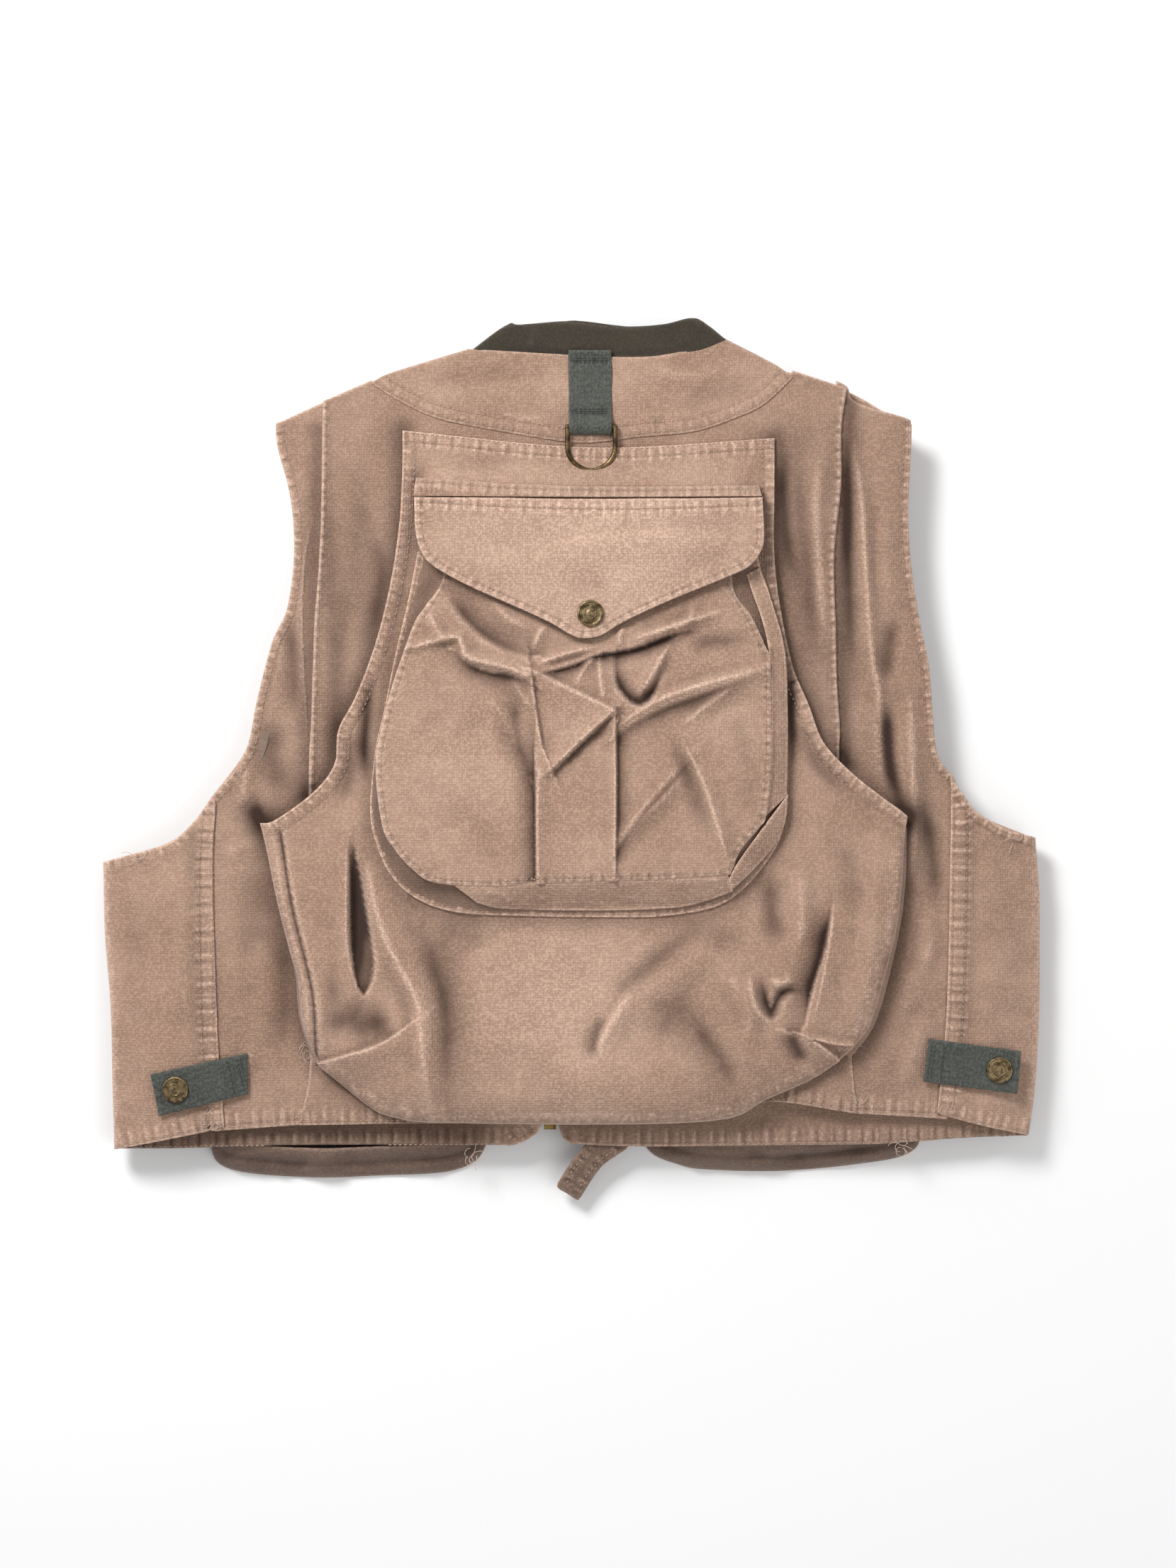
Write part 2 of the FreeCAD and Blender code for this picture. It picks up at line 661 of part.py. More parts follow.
pad(net_loop, "net_loop_eye", [round_outline(net_loop_y, ring_z, loop_radius)],
    centre_x - webbing_width / 2, webbing_width, "YZ_Plane")
bore_outline = round_outline(net_loop_y, ring_z, ring_wire / 2 + ring_room)
slot_through(net_loop, "net_loop_bore", bore_outline, webbing_width * 2)

ring_half = (webbing_width + ring_wire) / 2 + ring_side_room
ring_side = ring_drop - ring_half
wire = ring_wire / 2
bar = doc.addObject("Part::Cylinder", "ring_bar")
bar.setExpression("Radius", wire.text)
bar.setExpression("Height", (ring_half * 2).text)
place(bar, centre_x - ring_half, net_loop_y, ring_z, as_size(90), (0, 1, 0))
ring_parts = [bar]
for name, across in (("ring_left_side", -ring_half), ("ring_right_side", ring_half)):
    rod = doc.addObject("Part::Cylinder", name)
    rod.setExpression("Radius", wire.text)
    rod.setExpression("Height", ring_side.text)
    place(rod, centre_x + across, net_loop_y, ring_z, as_size(90), (1, 0, 0))
    ball = doc.addObject("Part::Sphere", name + "_corner")
    ball.setExpression("Radius", wire.text)
    place(ball, centre_x + across, net_loop_y, ring_z)
    ring_parts += [rod, ball]
bow = doc.addObject("Part::Torus", "ring_bow")
bow.setExpression("Radius1", ring_half.text)
bow.setExpression("Radius2", wire.text)
bow.Angle3 = 180
place(bow, centre_x, net_loop_y - ring_side, ring_z, as_size(180), (0, 0, 1))
net_ring = doc.addObject("Part::MultiFuse", "net_ring")
net_ring.Shapes = ring_parts + [bow]
net_ring.Label = "net_ring"
nodes.append(net_ring)

# Side tabs: webbing sewn behind each side seam, snapped to the wrap of the front
tab_z = back_top + snap_gap


def side_tab(side, root_x, root_y, turn, outwards):
    """One tab: outwards is -1 for the left side and 1 for the right."""
    tab = new_body(f"{side}_tab_webbing")
    pad(tab, f"{side}_tab_layer", [[
        (0, -webbing_width / 2),
        (0, webbing_width / 2),
        (tab_length * outwards, webbing_width / 2),
        (tab_length * outwards, -webbing_width / 2),
    ]], 0, webbing_cloth)
    place(tab, root_x, root_y, tab_z, turn, (0, 0, 1))
    along = (tab_length - tab_snap) * outwards
    spot = (root_x + along * cosine(turn), root_y + along * sine(turn), back_top)
    snap(f"{side}_tab", spot, as_size(0), 1, webbing_cloth)


side_tab("left", left_seam_x + 29, hem_y + 31, left_tab_turn, -1)
side_tab("right", right_seam_x - 17.5, hem_y + 39, right_tab_turn, 1)

# Front pockets: each has a face that bulges to the floor, a gusset, a sewn strip and a flap with a snap
strips = []


def pocket(name, x, foot_y, width, height, flat, flap_fall):
    """One front pocket, drawn from its foot; its face slopes down from the mouth and then lies flat."""
    top_y = foot_y + height
    knee = height - flat
    slope_value = math.degrees(math.atan2(pocket_rise.value, knee.value))
    slope = Size(slope_value, f"atan({(pocket_rise / knee).text})")
    lid = Plane(top_y, pocket_rise, slope)
    face = new_body(f"{name}_pocket_panel")
    pad(face, f"{name}_face", [[
        (foot_y, 0),
        (foot_y + flat, 0),
        (top_y, pocket_rise),
        (top_y, pocket_rise + cloth),
        (foot_y + flat, cloth),
        (foot_y, cloth),
    ]], x - width / 2, width, "YZ_Plane")
    doc.recompute()
    base = face.Tip
    edges = [f"Edge{index + 1}" for index, edge in enumerate(base.Shape.Edges)
             if edge.BoundBox.YLength < 0.01 and edge.BoundBox.XLength < 0.01
             and abs(edge.BoundBox.YMin - foot_y.value) < 0.01]
    rounded = face.newObject("PartDesign::Fillet", f"{name}_corners")
    rounded.Base = (base, edges)
    rounded.setExpression("Radius", pocket_corner.text)
    gusset = new_body(f"{name}_pocket_gusset")
    outer_x = width / 2
    inner_x = width / 2 - pocket_wall
    side = pocket_corner
    pad(gusset, f"{name}_gusset_wall", [[
        (x - outer_x, top_y), (x - outer_x, foot_y + side),
        Via(x - outer_x + side * 0.3, foot_y + side * 0.3), (x - outer_x + side, foot_y),
        (x + outer_x - side, foot_y),
        Via(x + outer_x - side * 0.3, foot_y + side * 0.3), (x + outer_x, foot_y + side),
        (x + outer_x, top_y), (x + inner_x, top_y), (x + inner_x, foot_y + side),
        Via(x + inner_x - side * 0.26, foot_y + side * 0.36), (x + outer_x - side, foot_y + pocket_wall),
        (x - outer_x + side, foot_y + pocket_wall),
        Via(x - inner_x + side * 0.26, foot_y + side * 0.36), (x - inner_x, foot_y + side),
        (x - inner_x, top_y),
    ]], cloth, front_z - cloth)
    slot_through(gusset, f"{name}_gusset_slope", [
        (foot_y + flat, cloth),
        (foot_y + flat, 0),
        (top_y + mouth_gap, 0),
        (top_y + mouth_gap, pocket_rise + cloth + mouth_gap * pocket_rise / knee),
    ], chest_width)
    lid_low = snap_gap + lining + cloth
    flap = new_body(f"{name}_pocket_flap")
    pad(flap, f"{name}_flap_layer", [[
        (x - outer_x, 0),
        (x - outer_x, -flap_fall * 0.7),
        (x - outer_x * 0.8, -flap_fall * 0.85),
        (x, -flap_fall),
        (x + outer_x * 0.8, -flap_fall * 0.85),
        (x + outer_x, -flap_fall * 0.7),
        (x + outer_x, 0),
    ]], -lid_low, lining + cloth)
    hinge_y, hinge_z = on_plane(lid, mouth_slot, 0)
    place(flap, 0, hinge_y, hinge_z, slope)
    strip = doc.addObject("Part::Box", f"{name}_flap_strip")
    strip_y, strip_z = on_plane(lid, mouth_slot + clearance * 2, -lid_low)
    strip.setExpression("Length", width.text)
    strip.setExpression("Width", flap_strip.text)
    strip.setExpression("Height", (front_z - strip_z - clearance / 3).text)
    place(strip, x - outer_x, strip_y + clearance * 2, strip_z + clearance / 3)
    strips.append(strip)
    spot_y, spot_z = on_plane(lid, mouth_slot - flap_fall * 0.8, 0)
    snap(f"{name}_pocket", (x, spot_y, spot_z), slope, -1, lining + cloth)


lower_args = (lower_pocket_width, lower_pocket_height, lower_pocket_flat, pocket_flap_drop)
chest_args = (chest_pocket_width, chest_pocket_height, chest_pocket_flat, chest_flap_drop)
pocket("left_lower", front_x - 124, front_hem_y - 19, *lower_args)
pocket("right_lower", front_x + 142, front_hem_y - 14, *lower_args)
pocket("left_chest", front_x - 95, chest_pocket_y, *chest_args)
pocket("right_chest", front_x + 106, chest_pocket_y, *chest_args)

# Front zip: two tapes, two rows of teeth, slider, pull and the box at its foot
zip_length = zip_top_y - zip_bottom_y


def strip_box(name, x, y, z, width, length, depth):
    """Plain rectangular piece, placed by its lowest corner."""
    box = doc.addObject("Part::Box", name)
    for side, value in (("Length", width), ("Width", length), ("Height", depth)):
        box.setExpression(side, as_size(value).text)
    place(box, x, y, z)
    return box


def group(label, pieces, kind="Part::Compound"):
    """Several solids kept in one sub-part."""
    whole = doc.addObject(kind, label)
    if kind == "Part::Compound":
        whole.Links = pieces
    else:
        whole.Shapes = pieces
    whole.Label = label
    nodes.append(whole)


tape_inner = teeth_gap + clearance * 2
teeth_z = front_z - teeth_gap
teeth_depth = inner_z - teeth_z
for side, tape_x in (("left", front_x - tape_inner - tape_width), ("right", front_x + tape_inner)):
    tape = strip_box(f"{side}_zip_tape", tape_x, zip_bottom_y, inner_z, tape_width, zip_length, tape_cloth)
    nodes.append(tape)
group("zip_teeth", [
    strip_box("left_teeth", front_x - teeth_gap - teeth_width, zip_bottom_y, teeth_z,
              teeth_width, zip_length, teeth_depth),
    strip_box("right_teeth", front_x + teeth_gap, zip_bottom_y, teeth_z,
              teeth_width, zip_length, teeth_depth),
])
slider_low = teeth_z - clearance - cloth
slider_high = inner_z + tape_cloth + clearance
slider_y = zip_top_y - slider_length
slider_x = front_x - slider_width / 2
lug_drop = pull_cloth + clearance
group("zip_slider", [
    strip_box("slider_outer_plate", slider_x, slider_y, slider_low, slider_width, slider_length, cloth),
    strip_box("slider_inner_plate", slider_x, slider_y, slider_high, slider_width, slider_length, cloth),
    strip_box("slider_post", front_x - teeth_gap / 2, slider_y + slider_length / 2, slider_low,
              teeth_gap, slider_length / 2, slider_high + cloth - slider_low),
    strip_box("slider_lug", front_x - cloth / 2, slider_y + cloth, slider_low - lug_drop,
              cloth, slider_length / 3, lug_drop + clearance),
], "Part::MultiFuse")
pull_z = slider_low - clearance - pull_cloth / 2
pull_y = slider_y + cloth + slider_length / 6
pull_half = pull_cloth / 2
pull = new_body("zip_pull")
pad(pull, "zip_pull_leaf", [[
    (pull_y - pull_length, pull_z - pull_half),
    (pull_y, pull_z - pull_half),
    Via(pull_y + pull_half, pull_z),
    (pull_y, pull_z + pull_half),
    (pull_y - pull_length, pull_z + pull_half),
]], front_x - slider_width / 3, slider_width * 2 / 3, "YZ_Plane")
fork = new_sketch(pull, "zip_pull_fork_outline", "XY_Plane", pull_z + mouth_gap)
draw(fork, [
    (front_x - cloth, pull_y + mouth_gap),
    (front_x - cloth, pull_y - slider_length / 2),
    (front_x + cloth, pull_y - slider_length / 2),
    (front_x + cloth, pull_y + mouth_gap),
])
fork_cut = pull.newObject("PartDesign::Pocket", "zip_pull_fork")
fork_cut.Profile = fork
fork_cut.setExpression("Length", (mouth_gap * 2).text)
box_half = zip_room - clearance
nodes.append(strip_box("zip_box", front_x - box_half, zip_bottom_y - slider_length, front_z,
                       box_half * 2, slider_length - clearance, cloth + tape_cloth))

# Loose strap that hangs out below the right front
strap_edge = [
    (front_x + 29, hem_y + 4),
    Via(front_x + 20, front_hem_y - 4),
    (front_x + 4.5, front_hem_y - 26),
]
plate("front_strap", strap_edge + [
    (front_x + 16, front_hem_y - 34),
    (front_x + 18.5, front_hem_y - 33),
    Via(front_x + 32, front_hem_y - 14),
    (front_x + 29 + strap_width, hem_y + 4),
], front_z - clearance - strap_cloth, strap_cloth)

group("snap_studs", studs)
group("snap_back_plates", back_plates)
group("front_flap_strips", strips)

doc.recompute()

# Every object has to be sound before anything is written
for item in doc.Objects:
    if "Invalid" in item.State or "Error" in item.State:
        raise RuntimeError(f"{item.Label} failed: {item.State}")
for node in nodes:
    if node.Shape.isNull() or not node.Shape.isValid():
        raise RuntimeError(f"{node.Label} has no sound shape")

os.makedirs("parts", exist_ok=True)
for node in nodes:
    node.Shape.exportStep(f"parts/{node.Label}.step")
    print(f"{node.Label:28s} {node.Shape.Volume:10.1f} mm3")
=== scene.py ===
import math

import bpy
import numpy as np
from mathutils import Matrix, Vector, geometry
from mathutils.bvhtree import BVHTree


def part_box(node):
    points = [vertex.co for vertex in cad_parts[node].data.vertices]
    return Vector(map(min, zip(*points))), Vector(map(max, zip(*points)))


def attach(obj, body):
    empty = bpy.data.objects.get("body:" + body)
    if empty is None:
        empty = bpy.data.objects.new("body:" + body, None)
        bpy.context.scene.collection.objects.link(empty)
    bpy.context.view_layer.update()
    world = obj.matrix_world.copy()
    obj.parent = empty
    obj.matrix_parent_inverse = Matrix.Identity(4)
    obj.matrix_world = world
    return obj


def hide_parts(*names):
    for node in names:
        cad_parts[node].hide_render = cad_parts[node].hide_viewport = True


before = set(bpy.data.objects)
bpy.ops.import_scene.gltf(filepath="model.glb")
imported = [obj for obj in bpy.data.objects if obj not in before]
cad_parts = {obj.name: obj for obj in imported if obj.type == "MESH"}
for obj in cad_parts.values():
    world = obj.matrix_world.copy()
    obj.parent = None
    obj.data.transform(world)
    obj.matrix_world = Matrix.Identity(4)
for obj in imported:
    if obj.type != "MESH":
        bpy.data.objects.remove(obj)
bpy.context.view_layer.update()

# The camera hangs straight above the middle of the vest, square to the floor, and takes in a
# stretch of floor 0.94 m long.
eye_height = 1.75
view_length = 0.94
cloth_level = 0.04
camera_data = bpy.data.cameras.new("overhead_camera")
camera_data.lens = camera_data.sensor_width * (eye_height - cloth_level) / view_length
camera = bpy.data.objects.new("overhead_camera", camera_data)
camera.location = (0.010, -0.014, eye_height)
bpy.context.collection.objects.link(camera)
bpy.context.scene.camera = camera

# A plain white sweep of floor, with a big soft light high on the upper left and pale light all
# round, so that the shadow falls softly to the lower right.
bpy.ops.object.select_all(action="DESELECT")
bpy.ops.mesh.primitive_plane_add(size=6, location=(0, 0, -0.0003))
floor = bpy.context.object
floor.name = "floor"
# Matt white floor paint, rolled on: even and without gloss.
paint = bpy.data.materials.new("white_floor_paint")
paint.use_nodes = True
paint.node_tree.nodes["Principled BSDF"].inputs["Base Color"].default_value = (0.93, 0.93, 0.93, 1)
paint.node_tree.nodes["Principled BSDF"].inputs["Roughness"].default_value = 0.8
floor.data.materials.append(paint)
for name, place, width, power in (
    ("key_light", (-0.85, 1.15, 1.4), 0.6, 35),
    ("fill_light", (1.2, -0.7, 1.9), 1.6, 12),
):
    lamp_data = bpy.data.lights.new(name, "AREA")
    lamp_data.size = width
    lamp_data.energy = power
    lamp = bpy.data.objects.new(name, lamp_data)
    lamp.location = place
    lamp.rotation_euler = (-Vector(place)).to_track_quat("-Z", "Y").to_euler()
    bpy.context.collection.objects.link(lamp)
sky = bpy.data.worlds.new("studio_sky")
sky.use_nodes = True
sky.node_tree.nodes["Background"].inputs["Color"].default_value = (1, 1, 1, 1)
sky.node_tree.nodes["Background"].inputs["Strength"].default_value = 0.47
bpy.context.scene.world = sky
bpy.context.scene.view_settings.view_transform = "Standard"

# Back: a yoke over the shoulders, a centre panel and a panel each side, pleated together so that
# the back can stretch, in garment-washed cotton canvas with every seam topstitched. Each panel is
# drawn flat in millimetres and then raised to its height, with its folds and seams as lines.
MM = 0.001
canvas_gauge = 1.2


def path(points, step):
    """Even points along a smooth run; a point with a third value is a sharp corner."""
    points = [tuple(point) for point in points]
    stops = [index for index, point in enumerate(points) if len(point) > 2 or index in (0, len(points) - 1)]
    out = []
    for start, end in zip(stops, stops[1:]):
        run = np.array([point[:2] for point in points[start:end + 1]], float)
        if len(run) == 2:
            count = max(1, round(float(np.hypot(*(run[1] - run[0]))) / step))
            out += [run[0] + (run[1] - run[0]) * k / count for k in range(count)]
            continue
        padded = np.vstack([2 * run[0] - run[1], run, 2 * run[-1] - run[-2]])
        for k in range(1, len(run)):
            before, here, there, after = padded[k - 1:k + 3]
            count = max(1, round(float(np.hypot(*(there - here))) / step))
            for t in np.arange(count) / count:
                out.append(0.5 * (2 * here + (there - before) * t
                                  + (2 * before - 5 * here + 4 * there - after) * t * t
                                  + (3 * here - before - 3 * there + after) * t ** 3))
    out.append(np.array(points[-1][:2], float))
    return np.array(out)


def ring_path(outline, step):
    """The same for a closed outline, which starts at a sharp corner."""
    return path(list(outline) + [tuple(outline[0][:2])], step)[:-1]


def beside(xy, line):
    """Distance of each point from a line, its side (1 left, -1 right) and its place along in mm."""
    best = np.full(len(xy), 1e9)
    side = np.ones(len(xy))
    along = np.zeros(len(xy))
    travelled = 0.0
    for start, end in zip(line[:-1], line[1:]):
        run = end - start
        length = float(np.hypot(*run)) or 1e-9
        offset = xy - start
        t = np.clip(offset @ run / length ** 2, 0, 1)
        gap = np.hypot(*(offset - t[:, None] * run).T)
        closer = gap < best
        best[closer] = gap[closer]
        turn = run[0] * offset[:, 1] - run[1] * offset[:, 0]
        side[closer] = np.where(turn[closer] >= 0, 1.0, -1.0)
        along[closer] = travelled + t[closer] * length
        travelled += length
    return best, side, along, travelled


def ease(t):
    """A smooth step from 0 to 1."""
    t = np.clip(t, 0, 1)
    return t * t * (3 - 2 * t)


def inside(xy, ring):
    """Which points lie inside a closed outline."""
    within = np.zeros(len(xy), bool)
    for (x1, y1), (x2, y2) in zip(ring, np.roll(ring, -1, 0)):
        if y1 == y2:
            continue
        crosses = (y1 > xy[:, 1]) != (y2 > xy[:, 1])
        within ^= crosses & (xy[:, 0] < (x2 - x1) * (xy[:, 1] - y1) / (y2 - y1) + x1)
    return within


def rumple(xy, grain, seed):
    """Smooth random hills about grain mm across, from -1 to 1."""
    lattice = np.random.default_rng(seed).uniform(-1, 1, (64, 64))
    place = xy / grain + 20.37
    cell = np.floor(place).astype(int)
    part = ease(place - cell)
    x, y = cell[:, 0] % 64, cell[:, 1] % 64
    x2, y2 = (x + 1) % 64, (y + 1) % 64
    low = lattice[x, y] * (1 - part[:, 0]) + lattice[x2, y] * part[:, 0]
    high = lattice[x, y2] * (1 - part[:, 0]) + lattice[x2, y2] * part[:, 0]
    return low * (1 - part[:, 1]) + high * part[:, 1]


def fold(points, rise, left, right, soft=1.0, ends=(0, 0), worn=None, dark=0.0):
    """A crease: it rises by rise mm on the line and dies away over left and right mm beside it.
    A tiny left or right makes a lapped edge. soft is 1 for a sharp crest and 2 for a round one.
    ends say how much of it is left at each end, worn how pale its crest is and dark how much painted shade
    its hollow gets."""
    line = path(points, 5)
    tail = 0.35
    rub_width = 0.9
    worn = (0.4 if soft < 1.25 and rise > 0 else 0) if worn is None else worn
    if rise < 0:
        # a hollow is wider and shallower than a crest of the same cloth
        rise, left, right = rise * 0.8, left * 1.45, right * 1.45

    def apply(xy, z, wear, shade):
        near = (xy > line.min(0) - max(left, right)).all(1) & (xy < line.max(0) + max(left, right)).all(1)
        if not near.any():
            return
        gap, side, along, length = beside(xy[near], line)
        reach = np.where(side > 0, left, right)
        t = along / length
        strength = ends[0] + (1 - ends[0]) * ease(t / tail)
        strength *= ends[1] + (1 - ends[1]) * ease((1 - t) / tail)
        form = (1 - np.clip(gap / reach, 0, 1) ** soft) ** 2
        z[near] += rise * strength * form
        wear[near] += 0.78 * worn * strength * np.exp(-(gap / rub_width) ** 2)
        # a hollow gets painted shade, more for a deeper hollow and more by dark
        if rise < 0:
            shade[near] += (0.2 * min(1.0, -rise / 3) + 0.72 * dark) * strength * form
    rows = [line] if soft < 1.5 else []
    return apply, rows, (0.0,) if min(left, right) > 2.5 else (-1.6, -0.7, 0, 0.7, 1.6)


def seam(points, rows=(-3, 3), band=5.0, rise=0.5, pucker=0.35, worn=0.45, seed=0):
    """A stitched seam: rows of stitches beside the line, a raised band, and puckers across it, with painted
    shade in the pucker troughs and stitch grooves.
    """
    line = path(points, 4)
    groove_width = 0.7
    groove_depth = 0.35

    def apply(xy, z, wear, shade):
        near = (xy > line.min(0) - band * 2).all(1) & (xy < line.max(0) + band * 2).all(1)
        if not near.any():
            return
        gap, side, along, length = beside(xy[near], line)
        ripple = (np.sin(along * 1.13 + seed) + 0.8 * np.sin(along * 0.71 + seed * 2.3)
                  + 0.6 * np.sin(along * 1.87 + seed * 1.7)) / 2.4
        window = 1 - ease((gap - band * 0.6) / (band * 0.8))
        z[near] += window * (rise + 1.1 * pucker * ripple)
        wear[near] += window * worn * np.clip(0.2 + 1.1 * ripple, 0, 1)
        # painted shade in the troughs between puckers
        shade[near] += 0.22 * window * np.clip(-ripple - 0.1, 0, 1)
        for row in rows:
            groove = np.exp(-((side * gap - row) / groove_width) ** 2)
            z[near] -= groove_depth * groove
            # painted shade down each stitch groove
            shade[near] += 0.20 * groove
    steps = tuple(np.arange(-band, band + 0.1, 1.5))
    return apply, [line], steps


def rolled(points, drop, width):
    """A folded edge: the cloth turns down by drop mm over its last width mm."""
    line = path(points, 5)

    def apply(xy, z, wear, shade):
        gap = beside(xy, line)[0]
        t = np.clip(1 - gap / width, 0, 1)
        z -= drop * (1 - np.sqrt(np.clip(1 - t * t, 0, 1)))
        wear += 0.45 * np.exp(-((gap - width * 0.25) / 1.4) ** 2)
    return apply, [line], (1.0, 2.2, -1.0, -2.2)


def painted_edge_shade(points, reach, depth):
    """Painted shade on the cloth along the edge of the piece that lies on it, where its shadow falls."""
    line = path(points, 6)

    def apply(xy, z, wear, shade):
        near = (xy > line.min(0) - reach * 2).all(1) & (xy < line.max(0) + reach * 2).all(1)
        if near.any():
            gap = beside(xy[near], line)[0]
            shade[near] += depth * np.exp(-(gap / reach) ** 2)
    return apply, [], ()


def painted_panel_shade(amount):
    """Painted shade spread evenly over a panel that lies lower."""
    def apply(xy, z, wear, shade):
        shade += amount
    return apply, [], ()


def stations(line, step):
    """Points a fixed step apart along a line, with its direction there."""
    runs = np.hypot(*(line[1:] - line[:-1]).T)
    travelled = np.concatenate([[0], np.cumsum(runs)])
    places = np.arange(step / 2, travelled[-1], step)
    points = np.column_stack([np.interp(places, travelled, line[:, k]) for k in (0, 1)])
    ahead = np.column_stack([np.interp(places + 0.5, travelled, line[:, k]) for k in (0, 1)])
    behind = np.column_stack([np.interp(places - 0.5, travelled, line[:, k]) for k in (0, 1)])
    heading = ahead - behind
    heading /= np.hypot(*heading.T)[:, None] + 1e-9
    return points, heading


def relief(z, faces):
    """How far each point stands above or below the cloth around it, close by and further off."""
    pairs = np.array([(face[k - 1], face[k]) for face in faces for k in range(len(face))])
    start, end = np.concatenate([pairs[:, 0], pairs[:, 1]]), np.concatenate([pairs[:, 1], pairs[:, 0]])
    ties = np.maximum(np.bincount(start, minlength=len(z)), 1)
    smooth, out = z.copy(), []
    for count in (2, 6, 30):
        for _ in range(count):
            smooth = 0.4 * smooth + 0.6 * np.bincount(start, smooth[end], len(z)) / ties
        out.append(z - smooth)
    return out


def panel(outline, height, creases=(), spacing=2.4, gauge=canvas_gauge, edge_wear=0.95):
    """One cut piece of cloth as arrays: points in mm, faces, and its wear and painted shade marks."""
    edge = ring_path(outline, spacing * 0.8)
    if sum(edge[:, 0] * np.roll(edge[:, 1], -1) - edge[:, 1] * np.roll(edge[:, 0], -1)) < 0:
        edge = edge[::-1]
    closed = np.vstack([edge, edge[:1]])
    rows = []
    inward = np.roll(edge, -1, 0) - np.roll(edge, 1, 0)
    inward = np.column_stack([-inward[:, 1], inward[:, 0]]) / (np.hypot(*inward.T)[:, None] + 1e-9)
    for depth in (0.7, 1.8, 3.4, 5.2):
        rows.append(edge + inward * depth)
    for apply, lines, steps in creases:
        for line in lines:
            spots, heading = stations(line, 1.7)
            side = np.column_stack([-heading[:, 1], heading[:, 0]])
            rows += [spots + side * step for step in steps]
    fine = np.vstack(rows)
    low, high = edge.min(0), edge.max(0)
    across = np.arange(low[0], high[0], spacing)
    up = np.arange(low[1], high[1], spacing * 0.87)
    grid = np.array([(x + (0.5 * spacing if k % 2 else 0), y) for k, y in enumerate(up) for x in across])
    cell = spacing * 0.62
    taken = {tuple(key) for key in np.round(fine / cell).astype(int).tolist()}
    keys = np.round(grid / cell).astype(int).tolist()
    grid = grid[[tuple(key) not in taken for key in keys]]
    seen = set()
    keep = []
    for index, key in enumerate(np.round(fine / 0.75).astype(int).tolist()):
        if tuple(key) not in seen:
            seen.add(tuple(key))
            keep.append(index)
    inner = np.vstack([fine[keep], grid])
    inner = inner[inside(inner, edge)]
    gap = beside(inner, closed)[0]
    inner = inner[gap > 0.45]
    flat = [Vector(point) for point in np.vstack([edge, inner]).tolist()]
    rings = [list(range(len(edge)))]
    result = geometry.delaunay_2d_cdt(flat, [], rings, 1, 1e-4)
    xy = np.array([tuple(point) for point in result[0]])
    faces = [list(face) for face in result[2]]
    gap = beside(xy, closed)[0]
    z = np.array(height(xy), float)
    wear = edge_wear * np.exp(-(gap / 0.9) ** 2)
    shade = np.zeros(len(xy))
    for apply, lines, steps in creases:
        apply(xy, z, wear, shade)
    sharp, close, broad = relief(z, faces)
    inner_part = ease(gap / 3)
    wear += inner_part * 0.55 * np.clip(sharp / 0.22 - 0.4, 0, 1)
    # painted shade in the hollows, close by and broad
    shade += inner_part * (0.22 * np.clip(-close / 0.9, 0, 1) + 0.30 * np.clip(-broad / 3, 0, 1))
    z -= 0.45 * np.exp(-(gap / 0.6) ** 2)
    count = len(xy)
    top = np.column_stack([xy, z])
    bottom = np.column_stack([xy, z - gauge])
    uses = {}
    for face in faces:
        for a, b in zip(face, face[1:] + face[:1]):
            uses[(a, b)] = True
    rim = [[b, a, a + count, b + count] for a, b in uses if (b, a) not in uses]
    under = [[index + count for index in face[::-1]] for face in faces]
    marks = np.column_stack([np.clip(wear, 0, 1), np.clip(shade, 0, 1), np.zeros(count), np.ones(count)])
    return np.vstack([top, bottom]), faces + under + rim, np.vstack([marks, marks])


def joined(parts):
    """Several panels' arrays as one."""
    verts, faces, marks, shift = [], [], [], 0
    for points, cells, mark in parts:
        verts.append(points)
        faces += [[index + shift for index in cell] for cell in cells]
        marks.append(mark)
        shift += len(points)
    return np.vstack(verts), faces, np.vstack(marks)


def area_of(outline):
    """Area inside an outline, in square millimetres."""
    edge = ring_path(outline, 5)
    turn = edge[:, 0] * np.roll(edge[:, 1], -1) - edge[:, 1] * np.roll(edge[:, 0], -1)
    return abs(float(turn.sum())) / 2


def make_mesh(name, verts, faces, marks=None):
    """A smooth-shaded piece from points in metres; marks are its wear and painted shade."""
    mesh = bpy.data.meshes.new(name)
    mesh.from_pydata(verts.tolist(), [], faces)
    mesh.polygons.foreach_set("use_smooth", [True] * len(mesh.polygons))
    if marks is not None:
        layer = mesh.color_attributes.new("cloth_marks", "FLOAT_COLOR", "POINT")
        layer.data.foreach_set("color", marks.ravel())
    mesh.update()
    piece = bpy.data.objects.new(name, mesh)
    bpy.context.collection.objects.link(piece)
    return piece


def add_node(tree, kind, inputs=(), **settings):
    """Add one shader node, set its options, then wire or fill its inputs."""
    node = tree.nodes.new(kind)
    for name, value in settings.items():
        setattr(node, name, value)
    for name, value in dict(inputs).items():
        if isinstance(value, bpy.types.NodeSocket):
            tree.links.new(value, node.inputs[name])
        else:
            node.inputs[name].default_value = value
    return node


def paint_of(code):
    """Linear colour from a paint code such as a58777."""
    parts = [int(code[k:k + 2], 16) / 255 for k in (0, 2, 4)]
    return tuple(c / 12.92 if c <= 0.04045 else ((c + 0.055) / 1.055) ** 2.4 for c in parts) + (1,)


def patches(tree, place, size_mm, low, high, detail=3.0):
    """Cloudy patches about size_mm across, from 0 to 1 between two noise levels."""
    noise = add_node(tree, "ShaderNodeTexNoise", {"Vector": place, "Scale": 1000 / size_mm, "Detail": detail})
    ramp = add_node(tree, "ShaderNodeMapRange", {0: noise.outputs[0], 1: low, 2: high},
                    interpolation_type="SMOOTHSTEP")
    return ramp.outputs[0]


